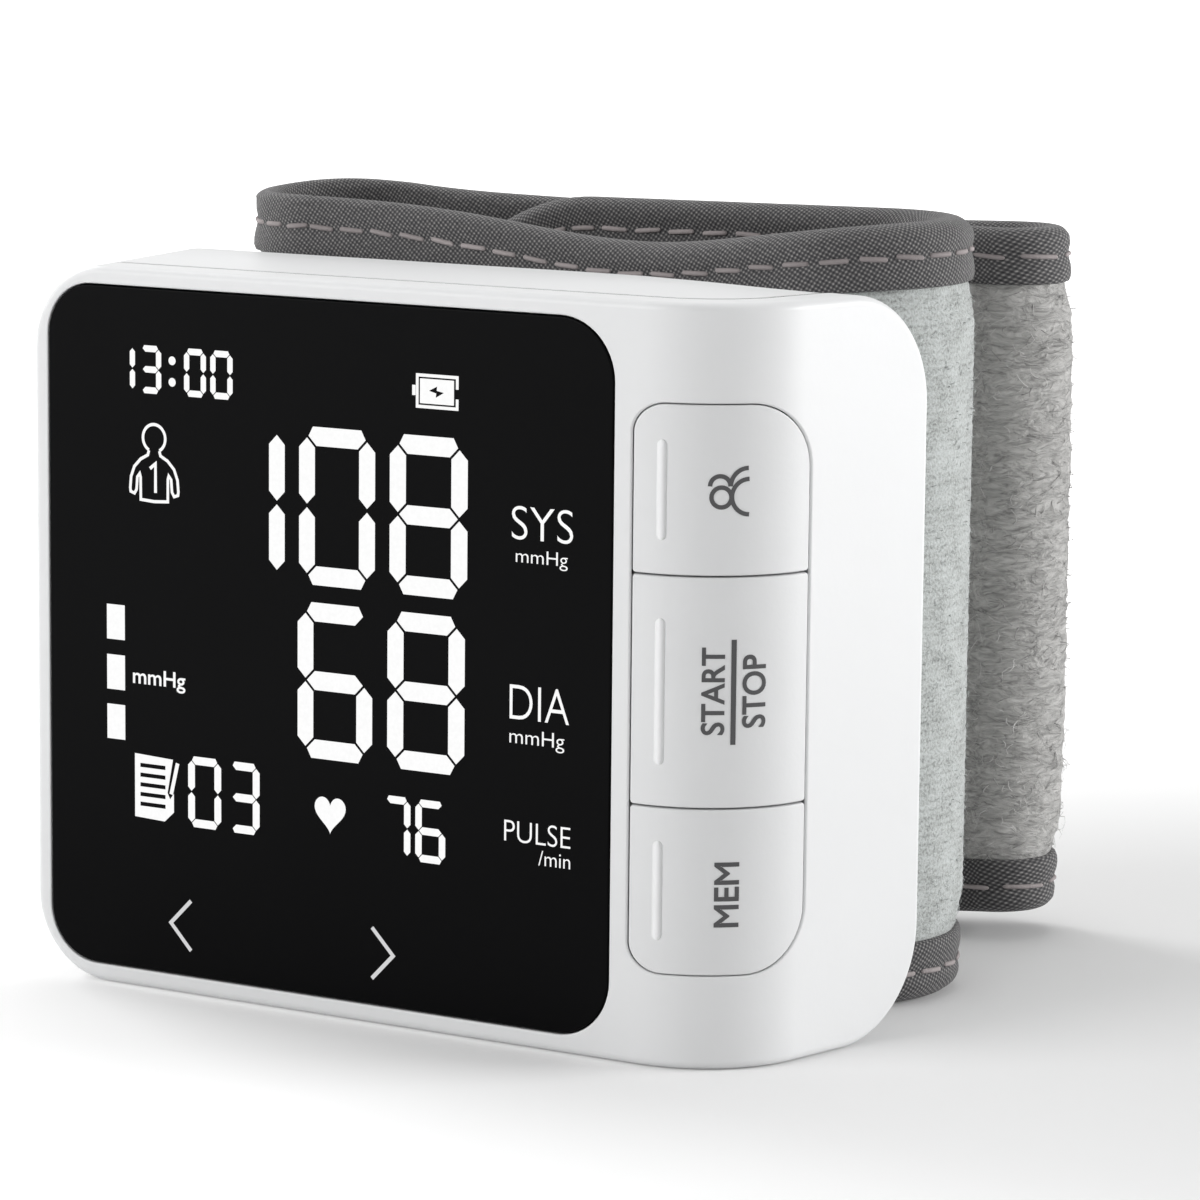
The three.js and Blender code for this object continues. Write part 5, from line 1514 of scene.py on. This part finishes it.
# CAD nodes that stay: each takes a finish by its slot
def finish_nodes():
    finishes = {
        "casing": CASING,
        "panel": moulded("panel_dark", (0.014, 0.017, 0.022), 0.4),
        "frame": moulded("frame_white", (0.80, 0.80, 0.76), 0.6),
        "board": moulded("board_green", (0.012, 0.145, 0.042), 0.5, 600.0, 0.1, 0.15),
        "chip": moulded("chip_black", (0.009, 0.0095, 0.011), 0.5, 1500.0, 0.1, 0.1),
        "steel": moulded("steel_plain", (0.48, 0.50, 0.52), 0.32, 500.0, 0.03, 0.05, 0.5, 1.0),
        "brass": moulded("brass_plain", (0.58, 0.37, 0.11), 0.38, 500.0, 0.03, 0.06, 0.5, 1.0),
        "pump_head": moulded("pump_black", (0.024, 0.025, 0.028), 0.5),
        "hose": moulded("hose_milky", (0.71, 0.71, 0.67), 0.55),
        "battery": moulded("battery_foil", (0.32, 0.37, 0.42), 0.38, 300.0, 0.08, 0.08, 0.5, 0.6),
        "foam": moulded("foam_black", (0.042, 0.042, 0.045), 0.9, 2500.0, 0.4, 0.2),
        "bladder": moulded("bladder_milky", (0.62, 0.62, 0.58), 0.55),
        "stiffener": moulded("stiffener_clear", (0.75, 0.77, 0.77), 0.35),
        "hook": moulded("lead_dark", (0.069, 0.069, 0.07), 0.8),
    }
    slots = {s["node"]: s["material_slot"] for s in frame["record"]["subparts"]}
    for name, node in frame["nodes"].items():
        if slots[name] not in finishes or node.hide_render:
            continue
        node.data.materials.clear()
        node.data.materials.append(finishes[slots[name]])


finish_nodes()


# Stage: pale floor, white surroundings, soft lights, camera
FLOOR_SIDE = 4000.0
FLOOR_LEVEL = -0.1
FLOOR_TONE = 0.8
SKY_LEVEL = 0.35
# The floor's glow is least round SHADOW_PLACE, beside the object, and grows with distance: painted shade that
# darkens the floor round the object
SHADOW_PLACE = (0.07, 0.06, 0.0)
GLOW_RANGE = {"From Min": 0.03, "From Max": 0.3, "To Min": 0.07, "To Max": 0.9}
LAMPS = {
    "front_light": ((-0.6, -1.0, 0.5), (0, 0, 0.03), (0.8, 0.6), 8.0),
    "top_light": ((-0.15, 0.25, 1.25), (0, 0.02, 0.03), (0.7, 0.7), 2.8),
    "right_light": ((0.87, 0.58, 0.25), (0.03, 0.02, 0.035), (0.5, 0.4), 8.3),
    "left_light": ((-0.8, 0.25, 0.6), (0, 0.02, 0.03), (0.35, 0.35), 3.5),
}


def seen_rays(tree):
    """1 for rays that the camera sees straight, in a gloss or through glass, and else 0."""
    rays = put(tree, "LightPath").outputs
    seen = math_node(tree, "MAXIMUM", rays["Is Camera Ray"], rays["Is Glossy Ray"])
    return math_node(tree, "MAXIMUM", seen, rays["Is Transmission Ray"])


def build_floor():
    material, tree, bsdf = new_material("floor_white")
    tree.nodes.remove(bsdf)
    matt = put(tree, "BsdfDiffuse", inputs={"Color": (FLOOR_TONE, FLOOR_TONE, FLOOR_TONE, 1)})
    # Glow grows with distance from SHADOW_PLACE: painted shade near the object
    ends = {0: put(tree, "TexCoord").outputs["Object"], 1: SHADOW_PLACE}
    away = put(tree, "VectorMath", {"operation": "DISTANCE"}, ends).outputs["Value"]
    smooth = {"interpolation_type": "SMOOTHSTEP"}
    far = put(tree, "MapRange", smooth, {"Value": away, **GLOW_RANGE}).outputs["Result"]
    level = math_node(tree, "MULTIPLY", seen_rays(tree), far)
    glow = put(tree, "Emission", inputs={"Strength": level})
    both = put(tree, "AddShader", inputs={0: matt.outputs[0], 1: glow.outputs[0]})
    wire(tree, tree.nodes["Material Output"], {"Surface": both.outputs[0]})
    corners = [(a * FLOOR_SIDE, b * FLOOR_SIDE, FLOOR_LEVEL) for a, b in SQUARE]
    add_object("floor", corners, [(0, 1, 2, 3)], material, flat=True)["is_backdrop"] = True


def build_surroundings():
    world = bpy.data.worlds.new("surroundings")
    bpy.context.scene.world = world
    world.use_nodes = True
    tree = world.node_tree
    level = math_node(tree, "MULTIPLY_ADD", seen_rays(tree), 1 - SKY_LEVEL, SKY_LEVEL)
    wire(tree, tree.nodes["Background"], {"Color": (1, 1, 1, 1), "Strength": level})


def add_lamp(name, place, goal, size, power):
    light = bpy.data.lights.new(name, "AREA")
    light.shape = "RECTANGLE"
    light.size, light.size_y = size
    light.energy = power
    obj = show(name, light)
    obj.location = place
    obj.rotation_euler = (Vector(goal) - Vector(place)).to_track_quat("-Z", "Y").to_euler()
    obj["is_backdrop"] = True


def add_camera():
    eye = bpy.data.cameras.new("camera")
    eye.lens = CAMERA_LENS
    eye.sensor_width = CAMERA_SENSOR
    holder = show("camera", eye)
    right = Vector(CAMERA_RIGHT).normalized()
    back = right.cross(Vector(CAMERA_UP).normalized()).normalized()
    turn = Matrix((right, back.cross(right), back)).transposed().to_4x4()
    holder.matrix_world = Matrix.Translation(CAMERA_PLACE) @ turn
    bpy.context.scene.camera = holder


build_floor()
build_surroundings()
for lamp_name, lamp in LAMPS.items():
    add_lamp(lamp_name, *lamp)
add_camera()
bpy.context.scene.view_settings.view_transform = "Standard"

plain = lambda bounds: [[float(v) for v in corner] for corner in bounds]
{"before": plain(size_before), "after": plain(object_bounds())}
